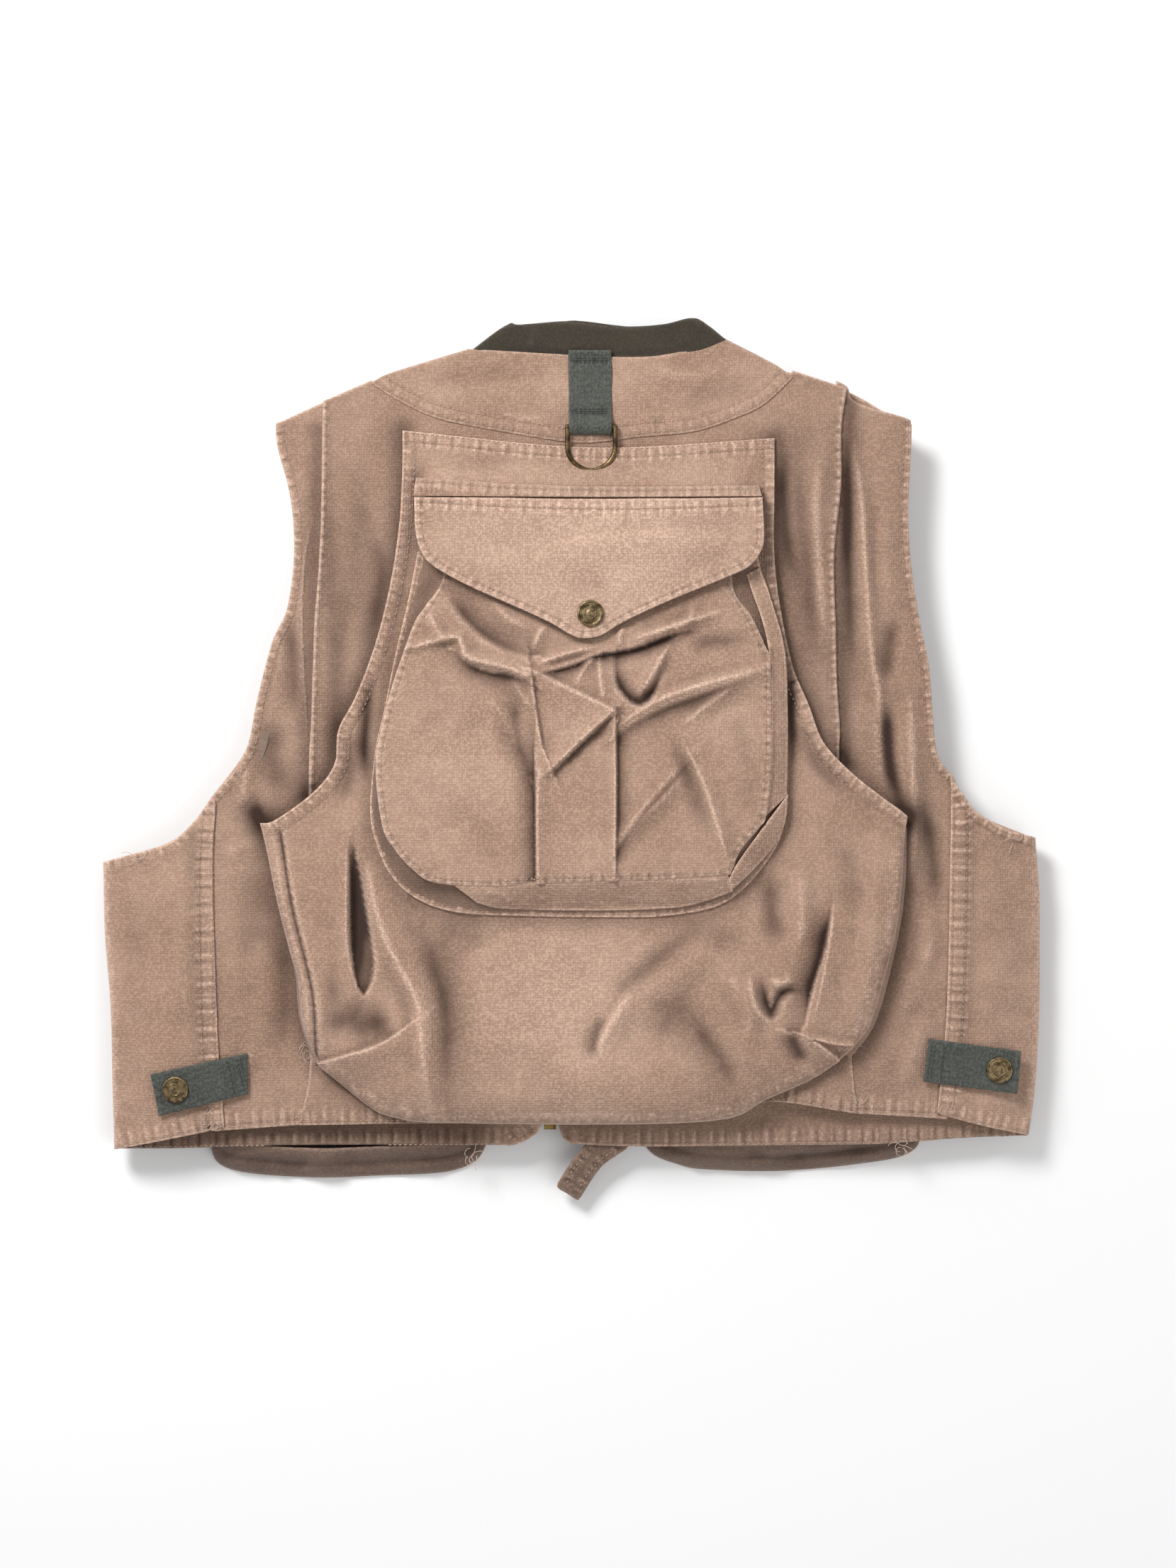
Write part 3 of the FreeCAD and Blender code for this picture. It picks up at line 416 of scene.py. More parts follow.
def tint(tree, amount, first, second, blend="MIX"):
    """Mix two colours by an amount from 0 to 1."""
    mix = add_node(tree, "ShaderNodeMix", data_type="RGBA", blend_type=blend)
    for index, value in ((0, amount), (6, first), (7, second)):
        if isinstance(value, bpy.types.NodeSocket):
            tree.links.new(value, mix.inputs[index])
        else:
            mix.inputs[index].default_value = value
    return mix.outputs[2]


def maths(tree, operation, first, second=0.5):
    """One sum on two values."""
    return add_node(tree, "ShaderNodeMath", {0: first, 1: second}, operation=operation).outputs[0]


def weave(tree, place, pitch_mm):
    """Over-and-under threads, two crossed sets of ribs, as a height from 0 to 1."""
    ribs = []
    for direction in ("X", "Y"):
        wave = add_node(tree, "ShaderNodeTexWave", {"Vector": place,
                                                    "Scale": 1000 / pitch_mm / 20 * math.tau / 2,
                                                    "Distortion": 0.9, "Detail": 1.0, "Detail Scale": 1.5},
                        bands_direction=direction)
        ribs.append(wave.outputs[1])
    return maths(tree, "MULTIPLY", ribs[0], ribs[1])


def garment_cloth(name, base, worn, deep_tone_and_shade, pitch_mm, bump_mm, fleck=0.25, sheen=0.15, rough=0.9):
    """Cotton cloth, garment washed: base colour in cloudy patches, paler where the marks say it is
    abraded, darker where the marks hold painted shade in the folds, with its weave and lint as bump."""
    cloth = bpy.data.materials.new(name)
    cloth.use_nodes = True
    tree = cloth.node_tree
    shader = tree.nodes["Principled BSDF"]
    place = add_node(tree, "ShaderNodeTexCoord").outputs["Object"]
    marks = add_node(tree, "ShaderNodeAttribute", attribute_name="cloth_marks")
    split = add_node(tree, "ShaderNodeSeparateColor", {0: marks.outputs["Color"]})
    lint = patches(tree, place, 1.6, 0.38, 0.66, 2.0)
    cloud = patches(tree, place, 46, 0.35, 0.68)
    blotch = patches(tree, place, 9, 0.36, 0.66)
    colour = tint(tree, maths(tree, "MULTIPLY", cloud, 0.2), paint_of(base), paint_of(worn))
    colour = tint(tree, maths(tree, "MULTIPLY", blotch, 0.1), colour, paint_of(deep_tone_and_shade))
    colour = tint(tree, maths(tree, "MULTIPLY", lint, fleck), colour, paint_of(worn))
    ragged = maths(tree, "ADD", maths(tree, "MULTIPLY", lint, 0.7), 0.5)
    rub = maths(tree, "MULTIPLY", split.outputs[0], ragged)
    colour = tint(tree, rub, colour, paint_of(worn))
    # painted shade: the marks' second channel darkens the colour towards the dark tone
    colour = tint(tree, split.outputs[1], colour, paint_of(deep_tone_and_shade))
    tree.links.new(colour, shader.inputs["Base Color"])
    threads = weave(tree, place, pitch_mm)
    first = add_node(tree, "ShaderNodeBump", {"Height": threads, "Distance": bump_mm * 0.001,
                                              "Strength": 0.7})
    second = add_node(tree, "ShaderNodeBump", {"Height": lint, "Distance": bump_mm * 0.0012, "Strength": 0.5,
                                               "Normal": first.outputs[0]})
    tree.links.new(second.outputs[0], shader.inputs["Normal"])
    shader.inputs["Roughness"].default_value = rough
    shader.inputs["Sheen Weight"].default_value = sheen
    shader.inputs["Sheen Roughness"].default_value = 0.6
    shader.inputs["Specular IOR Level"].default_value = 0.2
    return cloth


# Cotton duck, dyed salmon tan and washed many times: plain weave, a chalky bloom on every edge,
# turned brown in its folds by painted shade. Its 0.75 mm thread pitch is drawn as it is.
canvas = garment_cloth("washed_cotton_canvas", "9a7b68", "dcbba6", "38251c", 0.75, 0.28)


def sewn(name, parts, outlines, node, spare=1.03, body="vest", material=canvas):
    """Finish a cloth piece: mesh, material and body, and hide the solid that it stands for; its flat cut is
    worked out but not kept.
    spare is what the cut needs over the plan area for the cloth taken up in folds."""
    hem = 1.03
    verts, faces, marks = joined(parts)
    piece = make_mesh(name, verts * MM, faces, marks)
    piece.data.materials.append(material)
    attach(piece, body)
    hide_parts(node)
    area = sum(area_of(outline) for outline in outlines) * spare * MM * MM
    spans = [np.ptp(ring_path(outline, 5), 0) for outline in outlines]
    width = max(float(span[0]) for span in spans) * hem * MM
    length = max(area / width, max(float(span[1]) for span in spans) * hem * MM)
    if area < 0.4 * width * length:
        width = area / (0.9 * length)


def surface_finder(parts):
    """Look up the top of a finished panel at any plan point, in mm."""
    verts, faces, _ = joined(parts)
    tree = BVHTree.FromPolygons([Vector(v) for v in verts.tolist()], faces)

    def find(x, y):
        hit = tree.ray_cast(Vector((x, y, 200)), Vector((0, 0, -1)))
        return hit[0].z if hit[0] is not None else None
    return find


# Spun cotton sewing thread, paler and a little pinker than the cloth, fuzzy and without gloss.
thread = garment_cloth("cotton_thread", "a98a76", "d0b29c", "5f4638", 0.4, 0.08, 0.3, 0.2)


def stitched(name, rows, parts, body="vest", material=thread, pitch=3.1):
    """Rows of stitches sunk a little into the cloth, each a small pointed loop of thread."""
    length = 2.3
    gauge = 0.36
    sunk = gauge * 0.45
    find = surface_finder(parts)
    verts, faces = [], []
    for points, side in rows:
        line = path(points, 3)
        spots, heading = stations(line, pitch)
        for (x, y), (ux, uy) in zip(spots, heading):
            cx, cy = x - uy * side, y + ux * side
            levels = [find(cx + ux * s, cy + uy * s) for s in (-length * 0.4, 0, length * 0.4)]
            if None in levels:
                continue
            base = len(verts)
            slope = (levels[2] - levels[0]) / (length * 0.8)
            z = levels[1] + sunk
            verts.append((cx - ux * length / 2, cy - uy * length / 2, z - slope * length / 2 - gauge * 0.9))
            for s in (-0.25, 0.25):
                for out, up in ((-1, 0), (0, 1), (1, 0), (0, -1)):
                    verts.append((cx + ux * s * length - uy * out * gauge,
                                  cy + uy * s * length + ux * out * gauge,
                                  z + slope * s * length + up * gauge))
            verts.append((cx + ux * length / 2, cy + uy * length / 2, z + slope * length / 2 - gauge * 0.9))
            for k in range(4):
                a, b = base + 1 + k, base + 1 + (k + 1) % 4
                faces += [[base, a, b], [b, a, a + 4, b + 4], [base + 9, b + 4, a + 4]]
    piece = make_mesh(name, np.array(verts) * MM, faces)
    piece.data.materials.append(material)
    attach(piece, body)


def back_level(xy):
    """The back lies on the fronts and sinks a little to the shoulders and to the side folds."""
    back_height = 28.4
    sink = 7 * ease((np.abs(xy[:, 0]) - 245) / 40)
    shoulder = 5 * ease((xy[:, 1] - 205) / 45) * ease((np.abs(xy[:, 0] - 14) - 60) / 60)
    soft = 0.9 * rumple(xy, 62, 1) + 0.5 * rumple(xy, 24, 2) + 0.18 * rumple(xy, 8, 3)
    return back_height - sink - shoulder + soft


def lifted(level, amount):
    """A level a fixed height over another."""
    return lambda xy: level(xy) + amount


left_armhole = [(-178.7, 203.7), (-177.4, 189.1), (-170.6, 163.5), (-167.7, 139.6), (-168.1, 115.8),
                (-172.3, 90.1), (-180.8, 71.3), (-189.6, 38), (-195.3, 10), (-203.4, -5.7), (-217.4, -21.9)]
right_armhole = [(205.1, 203.8), (205.5, 202.9), (205.1, 187.4), (203.4, 149.8), (205.5, 115.8), (211, 81.6),
                 (216.1, 55.9), (219.5, 13.4), (222.9, -0.2), (230.6, -9.4)]
left_pleat = [(-150.2, 217), (-151.1, 154.9), (-152.8, 115.8), (-155.3, 81.6), (-157, 30.4), (-158.7, -22.6),
              (-157.5, -173.2), (-164.5, -220)]
right_pleat = [(166.4, 224), (163, 201.2), (162.8, 166.9), (158.7, 124.3), (159.6, 81.6), (160.4, 47.4),
               (162.1, 18.5), (161.7, -2.1), (166, -90), (168.9, -173.4), (172.6, -213)]
yoke_line = [(-121.1, 228.4), (-107.4, 219.1), (-85.2, 208), (-61.4, 202.1), (-10.1, 193.4), (12.5, 191.9),
             (40.2, 195.3), (74.2, 198.7), (99.9, 207.2), (117, 215.7), (134.1, 231.8)]
yoke_outline = ([(-121.1, 228.4, 1)] + yoke_line[1:-1] + [(134.1, 231.8, 1), (120.9, 241), (92.4, 255.2, 1),
                (77.5, 249.7), (50.4, 244.2), (23.2, 243.7), (-4, 245), (-62.3, 248.5, 1), (-107.3, 235.2)])
centre_outline = ([(-150.2, 217, 1)] + left_pleat[1:-1] + [(-164.5, -220, 1), (-104.6, -219.1), (0, -218.5),
                  (89.5, -216.5), (119.6, -206), (172.6, -213, 1)] + right_pleat[-2:0:-1]
                  + [(166.4, 225, 1), (134.1, 236, 1), (117, 221.7), (74.2, 204.7), (12.5, 197.9),
                     (-61.4, 208), (-107.4, 225), (-121, 230, 1)])
left_side_outline = ([(-143, 220, 1), (-173.2, 205.9), (-178.7, 203.7, 1)] + left_armhole[1:]
                     + [(-218.5, -24, 1), (-222, -69.3), (-220, -166.2), (-215.5, -223.8, 1),
                        (-158, -219.5, 1), (-152, -173), (-152, -22), (-149, 60), (-145, 155)])
right_side_outline = ([(160, 230, 1), (166.8, 226.1), (172.3, 216.5), (202.1, 207.2), (205.1, 203.8, 1)]
                      + right_armhole[1:] + [(232, -12, 1), (235, -37), (233, -148.5), (227.2, -216.5, 1),
                                             (173.4, -213.1), (167, -212.5, 1), (163, -173), (156, -2),
                                             (153, 124), (157, 201)])
hem_line = [(-215, -221), (-164.5, -217), (-104.6, -216), (0, -216), (89.5, -213.5), (119.6, -203),
            (173.4, -210), (227, -213.5)]
# The run of the rear pouch's edge, where it lies on the back.
left_pouch_edge = [(-101.8, 199.1), (-102.2, 166.8), (-103.9, 139.6), (-109.1, 105.6), (-117.6, 71.3),
                   (-129.6, 38.9), (-140, 18.5), (-142.4, -2.1), (-155.3, -19.2), (-177.9, -35.6),
                   (-187.4, -37.6)]
right_pouch_edge = [(122.6, 194.4), (122.2, 158.3), (121.8, 129.4), (124.7, 98.8), (132.4, 59.3),
                    (142.6, 33.8), (151.1, 11.7), (166.4, -5.5), (185.3, -20.9), (197.2, -29.4),
                    (202.1, -33.4)]
left_pouch_side = [(-187.4, -37.6), (-184.5, -50), (-178, -82), (-169.8, -113.3), (-164.5, -131),
                   (-161.8, -157.5), (-152.2, -183.8)]
right_pouch_side = [(202.1, -33.4), (200.5, -46.4), (198.7, -76.2), (193.6, -109.9), (181, -155.1),
                    (170.4, -171.3), (162.6, -179.8)]
pouch_foot = [(-152.2, -183.8), (-122.2, -208.5), (-104.6, -215.7), (-82.7, -218.2), (12.5, -219.5),
              (89.5, -216.5), (117.5, -204.4), (145.8, -191.7), (162.6, -179.8)]
yoke = panel(yoke_outline, lifted(back_level, 1.0), [
    seam(yoke_line, rows=(2, 8), band=7, rise=0.15, pucker=0.16, worn=0.12, seed=1),
    fold([(-80, 225), (-20, 219), (60, 226)], 1.2, 14, 14, 2),
    fold([(-100, 233), (-60, 232), (-20, 240)], -1.4, 8, 8, 2),
    fold([(40, 236), (75, 232), (100, 243)], 1.3, 7, 9, 2),
    fold([(60, 215), (95, 222), (120, 236)], -1.3, 7, 8, 2),
    fold([(-50, 212), (-25, 206), (-8, 208)], 1.0, 5, 8, 1.5),
], edge_wear=0.4)
centre = panel(centre_outline, back_level, [
    # painted shade over the whole panel
    painted_panel_shade(0.13),
    seam(left_pleat[:6], rows=(2.6,), band=3, rise=1.3, pucker=0.7, worn=0.7, seed=31),
    seam(right_pleat[:8], rows=(-2.6,), band=3, rise=1.5, pucker=1.0, worn=0.7, seed=32),
    rolled(left_pleat[:6], 1.5, 1.6), rolled(right_pleat[:8], 1.5, 1.6),
    seam(hem_line, rows=(-1, -7), band=6, rise=0.2, pucker=0.45, seed=2),
    # painted shade along the pouch's edges and foot, where it shadows the back
    painted_edge_shade(left_pouch_edge, 8, 0.5), painted_edge_shade(right_pouch_edge, 8, 0.5), painted_edge_shade(pouch_foot, 6, 0.35),
    fold([(-146, 180), (-143, 90), (-143, 20), (-149, -30)], -2.2, 9, 7, 1.8, dark=0.1),
    fold([(-130, 196), (-128, 130), (-136, 50)], -1.8, 9, 9, 2, dark=0.12),
    fold([(-120, 150), (-116, 110), (-126, 60)], -2.2, 6, 7, 1.8, dark=0.15),
    fold([(142, 216), (136, 170), (144, 90), (152, 40)], -2.4, 7, 9, 1.8, dark=0.15),
    fold([(152, 205), (148, 150), (153, 60)], 1.8, 6, 6, 1.7),
    fold([(128, 200), (128, 150), (136, 96)], -2.2, 5, 6, 1.8, dark=0.2),
    fold([(-148, -186), (-128, -198), (-112, -200)], -1.8, 6, 7, 1.6),
    fold([(150, -188), (128, -196), (112, -197)], 1.6, 6, 7, 1.6),
])
left_under_edge = [(-150.9, 166), (-160.4, 126), (-162.6, 81.6), (-160.4, 30.4), (-158.7, -3.8)]
left_side = panel(left_side_outline, lifted(back_level, -1.4), [
    # painted shade over the whole panel
    painted_panel_shade(0.08),
    seam(left_armhole, rows=(4.3,), band=4, rise=0.5, pucker=0.5, seed=3),
    seam([(-216.5, -219), (-160, -215)], rows=(-1, -7), band=6, rise=0.2, pucker=0.4, seed=4),
    # painted shade beside the pouch and under the pleat's edge
    painted_edge_shade(left_pouch_edge[6:], 9, 0.5), painted_edge_shade(left_pouch_side, 9, 0.5),
    painted_edge_shade([(-153, 200), (-156, 100), (-160, 20), (-161, -20)], 6, 0.45),
    fold(left_under_edge, 1.5, 0.6, 7, 1.2, worn=0.5),
    fold([(-178, 30), (-182, 4), (-174, -14), (-168, -28)], -3.4, 11, 11, 1.8, dark=0.16),
    fold([(-196, 6), (-198, -20), (-204, -40)], 2.4, 9, 9, 1.6),
    fold([(-204, -22), (-196, -30), (-182, -26)], -2.4, 8, 8, 1.7, dark=0.15),
    fold([(-212, -60), (-200, -52), (-186, -50)], 2.0, 9, 10, 1.8),
    fold([(-200, -64), (-190, -90), (-196, -126)], -2.4, 12, 12, 1.9, dark=0.08),
    fold([(-208, -100), (-204, -140), (-206, -170)], 1.6, 10, 10, 1.9),
    fold([(-180, -90), (-175, -140), (-178, -188)], -2.6, 8, 9, 1.8, dark=0.14),
    fold([(-190, -170), (-200, -186), (-214, -188)], 1.8, 7, 8, 1.6),
    fold([(-184, 120), (-176, 76), (-178, 44)], 1.6, 7, 8, 1.8),
    fold([(-170, 90), (-168, 50), (-172, 20)], -2.0, 6, 7, 1.8, dark=0.1),
], spacing=2.2)
right_wave = [(171.5, 218.2), (170.6, 190.8), (174.9, 158.4), (177.6, 115.8), (181.1, 64.5), (185.3, 38.9),
              (187, -20.9)]
right_side = panel(right_side_outline, lifted(back_level, -1.4), [
    # painted shade over the whole panel
    painted_panel_shade(0.08),
    seam(right_armhole[1:], rows=(-4.3,), band=4, rise=0.5, pucker=0.5, seed=5),
    seam([(227, -212.5), (172, -209)], rows=(1, 7), band=6, rise=0.2, pucker=0.4, seed=6),
    # painted shade beside the pouch and under the pleat's edge
    painted_edge_shade(right_pouch_edge[5:], 9, 0.5), painted_edge_shade(right_pouch_side, 11, 0.6),
    painted_edge_shade([(168, 216), (165, 150), (162, 110), (163, 40), (165, 0)], 6, 0.6),
    fold(right_wave, 2.8, 6, 7, 1.25, worn=0.35),
    fold([(167, 205), (167, 150), (169, 80), (172, 30)], -2.4, 5, 5, 1.6, dark=0.15),
    fold([(190, 40), (191, 20), (193, -4), (199, -28)], -5.0, 5, 6, 1.5, dark=0.6),
    fold([(204, 60), (205, 10), (207, -40), (204, -84)], 3.4, 8, 9, 1.5),
    fold([(196, 90), (192, 66), (190, 44)], -2.6, 6, 7, 1.7, dark=0.2),
    fold([(192, 170), (190, 120), (196, 76)], 1.4, 8, 8, 2),
    fold([(214, -20), (219, -60), (222, -94)], -3.0, 7, 8, 1.6, dark=0.25),
    fold([(210, -84), (216, -104), (212, -130)], 1.6, 8, 9, 1.7),
    fold([(222, -100), (208, -136), (190, -168)], 1.2, 8, 8, 1.9),
    fold([(214, -150), (206, -176), (196, -205)], 1.8, 9, 9, 1.8),
], spacing=2.2)
for name, part, outline, node in (
    ("back_yoke_cloth", yoke, yoke_outline, "back_yoke"),
    ("back_panel_cloth", centre, centre_outline, "back_panel"),
    ("left_back_side_cloth", left_side, left_side_outline, "left_back_side_panel"),
    ("right_back_side_cloth", right_side, right_side_outline, "right_back_side_panel"),
):
    sewn(name, [part], [outline], node)
stitched("back_stitching", [(yoke_line, 2), (yoke_line, 8)], [yoke])
stitched("back_hem_stitching", [(hem_line, -1), (hem_line, -7), ([(-163, -178), (-168, -217)], 0)],
         [centre, left_side, right_side])
stitched("armhole_stitching", [(left_armhole, 4.3), (right_armhole[1:], -4.3)],
         [left_side, right_side])

# Fronts: they lie below, turn up round each side fold and are felled over the back's edge with
# two rows of stitches. Same canvas, with a double-stitched hem.
left_seam = [(-217.4, -23), (-220.5, -69.3), (-219, -166.2), (-215, -222)]
right_seam = [(231.5, -11), (234.7, -37), (232.5, -148.5), (226, -213)]
left_fold_line = [(-284.5, -61.4), (-283.5, -105), (-279.9, -148.5), (-279, -195), (-277.7, -235.7)]
right_fold_line = [(281.8, -46.5), (284.2, -80), (284.4, -113.3), (284.4, -148.5), (281.8, -197.8),
                   (277.7, -227)]
left_wrap_outline = ([(-284.5, -61.4, 1)] + left_fold_line[1:-1]
                     + [(-277.7, -235.7, 1), (-245, -229), (-219.5, -223.8),
                        (-209.6, -220.5, 1), (-213.5, -166.2), (-216.4, -69.3), (-214.7, -25.3, 1),
                        (-217.4, -23), (-227.2, -35.9), (-240.3, -48.2), (-254.4, -53.3)])
right_wrap_outline = ([(281.8, -46.5, 1), (262.4, -41), (246.5, -32.3), (238.6, -23.6), (228.6, -9, 1),
                       (229, -34), (226.6, -148.5), (220.9, -213, 1), (229.7, -215.6), (255, -222),
                       (277.7, -227, 1)]
                      + right_fold_line[-2:0:-1])
front_left_outline = [(-278, -236, 1), (-229.7, -234.8), (-163.8, -233.1), (-53.3, -233.1), (-38.5, -233.5),
                      (-30.4, -231.8), (-21, -226), (-17.5, -219.5, 1), (-17.5, 150, 1), (-32, 196),
                      (-56, 244, 1), (-107, 234), (-150, 217), (-177, 203, 1), (-169, 160), (-167, 115),
                      (-180, 70), (-190, 36), (-197, 8), (-217, -20), (-240, -47), (-283.5, -61.4, 1),
                      (-283, -105), (-279, -148.5)]
front_right_outline = [(277.5, -228, 1), (236.1, -228.9), (188.5, -232.3), (117.5, -233.3), (41.4, -234),
                       (6.2, -232.7), (-1.5, -231.8), (-5.7, -228), (-8.3, -219.5, 1), (-8.5, 150, 1),
                       (30, 200), (84, 248, 1), (121, 239), (168, 224), (203, 203, 1), (204, 150),
                       (204, 115), (215, 56), (218, 14), (229, -10), (245, -31), (281.5, -47, 1),
                       (284, -113), (283.5, -148.5)]


def front_level(xy):
    """The fronts lie on the pockets and sink towards the side folds."""
    front_height = 18.8
    sink = 6 * ease((np.abs(xy[:, 0]) - 235) / 50)
    return front_height - sink + 0.6 * rumple(xy, 50, 4) + 0.3 * rumple(xy, 18, 5)


def band_between(upper, lower, upper_level, lower_level, bulge=2.0, steps=9, gauge=canvas_gauge, seed=0,
                 wrinkle=1.0, depth=0.15, tuck=0.0):
    """A strip of cloth from one edge to another, bulging outwards between them, as panel arrays, with painted
    shade down its middle and in its tuck.
    """
    rows = []
    top, foot = path(upper, 2.2), path(lower, 2.2)
    count = max(len(top), len(foot))
    share = np.linspace(0, 1, count)

    def even(line):
        runs = np.concatenate([[0], np.cumsum(np.hypot(*(line[1:] - line[:-1]).T))])
        return np.column_stack([np.interp(share * runs[-1], runs, line[:, k]) for k in (0, 1)])
    top, foot = even(top), even(foot)
    high, low = upper_level(top), lower_level(foot)
    away = foot - top
    away /= np.hypot(*away.T)[:, None] + 1e-6
    marks = []
    for k in range(steps + 1):
        t = k / steps
        spread = (1 - math.cos(t * math.pi / 2)) ** 0.8
        xy = top + (foot - top) * spread + away * bulge * math.sin(math.pi * t)
        z = high + (low - high) * t
        z = z + wrinkle * math.sin(math.pi * t) * (rumple(xy, 16, 40 + seed) + 0.5 * rumple(xy, 7, 41 + seed))
        crease = math.exp(-((t - 0.42) / 0.1) ** 2)
        waver = 0.6 + 0.4 * np.clip(rumple(xy, 34, 42 + seed), -1, 1)
        rows.append(np.column_stack([xy, z - tuck * crease * waver]))
        rub = 0.6 * max(0.0, 1 - min(t, 1 - t) * 7)
        # painted shade down the middle of the strip and in its tuck
        shade = depth * math.sin(math.pi * t) ** 0.5 + (0.6 * crease * waver if tuck else 0)
        marks.append(np.column_stack([np.full(count, rub), np.full(count, 1.0) * shade, np.zeros(count),
                                      np.ones(count)]))
    outer = np.vstack(rows)
    inner = outer.copy()
    inner[:, 2] -= gauge * 0.5
    inner[:, :2] -= np.vstack([away] * (steps + 1)) * gauge * 0.8
    faces = []
    total = len(outer)
    for k in range(steps):
        for j in range(count - 1):
            a, b = k * count + j, k * count + j + 1
            faces.append([a, b, b + count, a + count])
            faces.append([a + total + count, b + total + count, b + total, a + total])
    rim = (list(range(count)) + [k * count + count - 1 for k in range(1, steps + 1)]
           + [steps * count + k for k in range(count - 2, -1, -1)]
           + [k * count for k in range(steps - 1, 0, -1)])
    for a, b in zip(rim, rim[1:] + rim[:1]):
        faces.append([b, a, a + total, b + total])
    verts = np.vstack([outer, inner])
    first = np.cross(outer[1] - outer[0], outer[count] - outer[0])
    outward = np.array([*away[0], 0.4])
    if first @ outward < 0:
        faces = [face[::-1] for face in faces]
    return verts, faces, np.vstack(marks * 2)


def turned_up(points, rise, width):
    """A folded edge: the cloth turns up by rise mm over its last width mm."""
    line = path(points, 5)

    def apply(xy, z, wear, shade):
        t = np.clip(1 - beside(xy, line)[0] / width, 0, 1)
        z += rise * (1 - np.sqrt(np.clip(1 - t * t, 0, 1)))
    return apply, [line], (1.0, 2.5, -1.0, -2.5)


left_wrap_hem = [(-277, -232), (-212, -218)]
left_wrap = panel(left_wrap_outline, lifted(back_level, 0.3), [
    rolled(left_fold_line, 4.4, 5), seam(left_seam, rows=(-4, 4), band=6.5, rise=0.6, pucker=0.5, seed=7),
    seam(left_wrap_hem, rows=(-2, -8), band=6, rise=0.2, pucker=0.4, seed=8),
    seam([(-228, -37), (-240.3, -49.5), (-254.4, -54.6), (-284, -62.6)], rows=(-4,), band=4, rise=0.4,
         pucker=0.4, seed=28),
    # painted shade along the side seam
    painted_edge_shade([(-227, -46), (-226, -113), (-223, -180), (-220, -222)], 5, 0.25),
    fold([(-228, -60), (-250, -78), (-280, -84)], 1.2, 14, 14, 2),
    fold([(-230, -96), (-256, -108), (-278, -122)], -1.2, 14, 12, 2),
    fold([(-226, -140), (-246, -146), (-276, -140)], 1.2, 13, 13, 2),
    fold([(-262, -66), (-266, -110), (-262, -170)], -1.0, 12, 12, 2),
    fold([(-230, -215), (-256, -208), (-276, -196)], 1.0, 11, 11, 2),
])
right_wrap_hem = [(277, -223.5), (222, -211)]
right_wrap = panel(right_wrap_outline, lifted(back_level, 0.3), [
    rolled(right_fold_line, 4.4, 5), seam(right_seam, rows=(-4, 4), band=6.5, rise=0.6, pucker=0.5, seed=9),
    seam(right_wrap_hem, rows=(2, 8), band=6, rise=0.2, pucker=0.4, seed=10),
    seam([(231, -12), (238.6, -25), (246.5, -33.7), (262.4, -42.4), (281, -48)], rows=(-4,), band=4,
         rise=0.4, pucker=0.4, seed=29),
    # painted shade along the side seam
    painted_edge_shade([(240, -40), (238, -131), (234, -190)], 5, 0.25),
    fold([(242, -60), (258, -68), (282, -68)], 1.2, 12, 12, 2),
    fold([(240, -86), (262, -98), (282, -112)], -0.6, 12, 12, 2),
    fold([(240, -126), (262, -134), (282, -146)], 1.1, 11, 12, 2),
    fold([(238, -205), (262, -206), (280, -196)], 1.0, 10, 10, 2),
])
left_hem = [(-276, -231), (-60, -229.5), (-36, -228), (-24, -220)]
left_front = panel(front_left_outline, front_level, [
    # painted shade along the hem, under the back's edge
    turned_up(left_fold_line, 3, 5), painted_edge_shade([(-276, -228), (-164, -226), (-60, -226)], 15, 0.62),
    seam(left_hem, rows=(-3,), band=5, rise=0.3, pucker=0.5, seed=11),
], spacing=4.2)
right_hem = [(276, -224.5), (188, -228), (40, -229.5), (0, -228)]
right_front = panel(front_right_outline, front_level, [
    # painted shade along the hem, under the back's edge
    turned_up(right_fold_line, 3, 5), painted_edge_shade([(276, -222), (188, -224), (40, -224), (0, -222)], 14, 0.3),
    seam(right_hem, rows=(3,), band=5, rise=0.3, pucker=0.5, seed=12),
], spacing=4.2)
for side_name, inward, fold_line, part, wrap, outlines in (
    ("left", 1, left_fold_line, left_front, left_wrap, [front_left_outline, left_wrap_outline]),
    ("right", -1, right_fold_line, right_front, right_wrap, [front_right_outline, right_wrap_outline]),
):
    # the wall of the side fold, between the front and its wrap
    turn = band_between([(x + 1.6 * inward, y) for x, y in fold_line],
                        [(x + 1.0 * inward, y) for x, y in fold_line], lifted(back_level, -4.1),
                        lifted(front_level, 2.0), 1.5, 6, wrinkle=0.1)
    sewn(f"{side_name}_front_cloth", [part, wrap, turn], outlines, f"{side_name}_front_panel")
stitched("side_seam_stitching", [(left_seam, -4), (left_seam, 4), (right_seam, -4), (right_seam, 4),
                                 (left_wrap_hem, -2), (right_wrap_hem, 2)], [left_wrap, right_wrap])
stitched("front_hem_stitching", [(left_hem, -3), (right_hem, 3)], [left_front, right_front])

# Neck band: a brushed moleskin binding, a stiff crescent behind the neck that turns down both
# sides of the front neckline.

# Moleskin, a brushed cotton satin: dense short nap, dark brown, with a faint bloom at the edge.
moleskin = garment_cloth("brushed_moleskin", "2f281d", "4a4032", "15110c", 0.5, 0.12, 0.35, 0.3)
moleskin_gauge = 1.6


def near_back_neck(xy):
    """The collar stands a little over the yoke."""
    return 29.2 + 0.5 * rumple(xy, 26, 6) + 0.3 * rumple(xy, 9, 7)


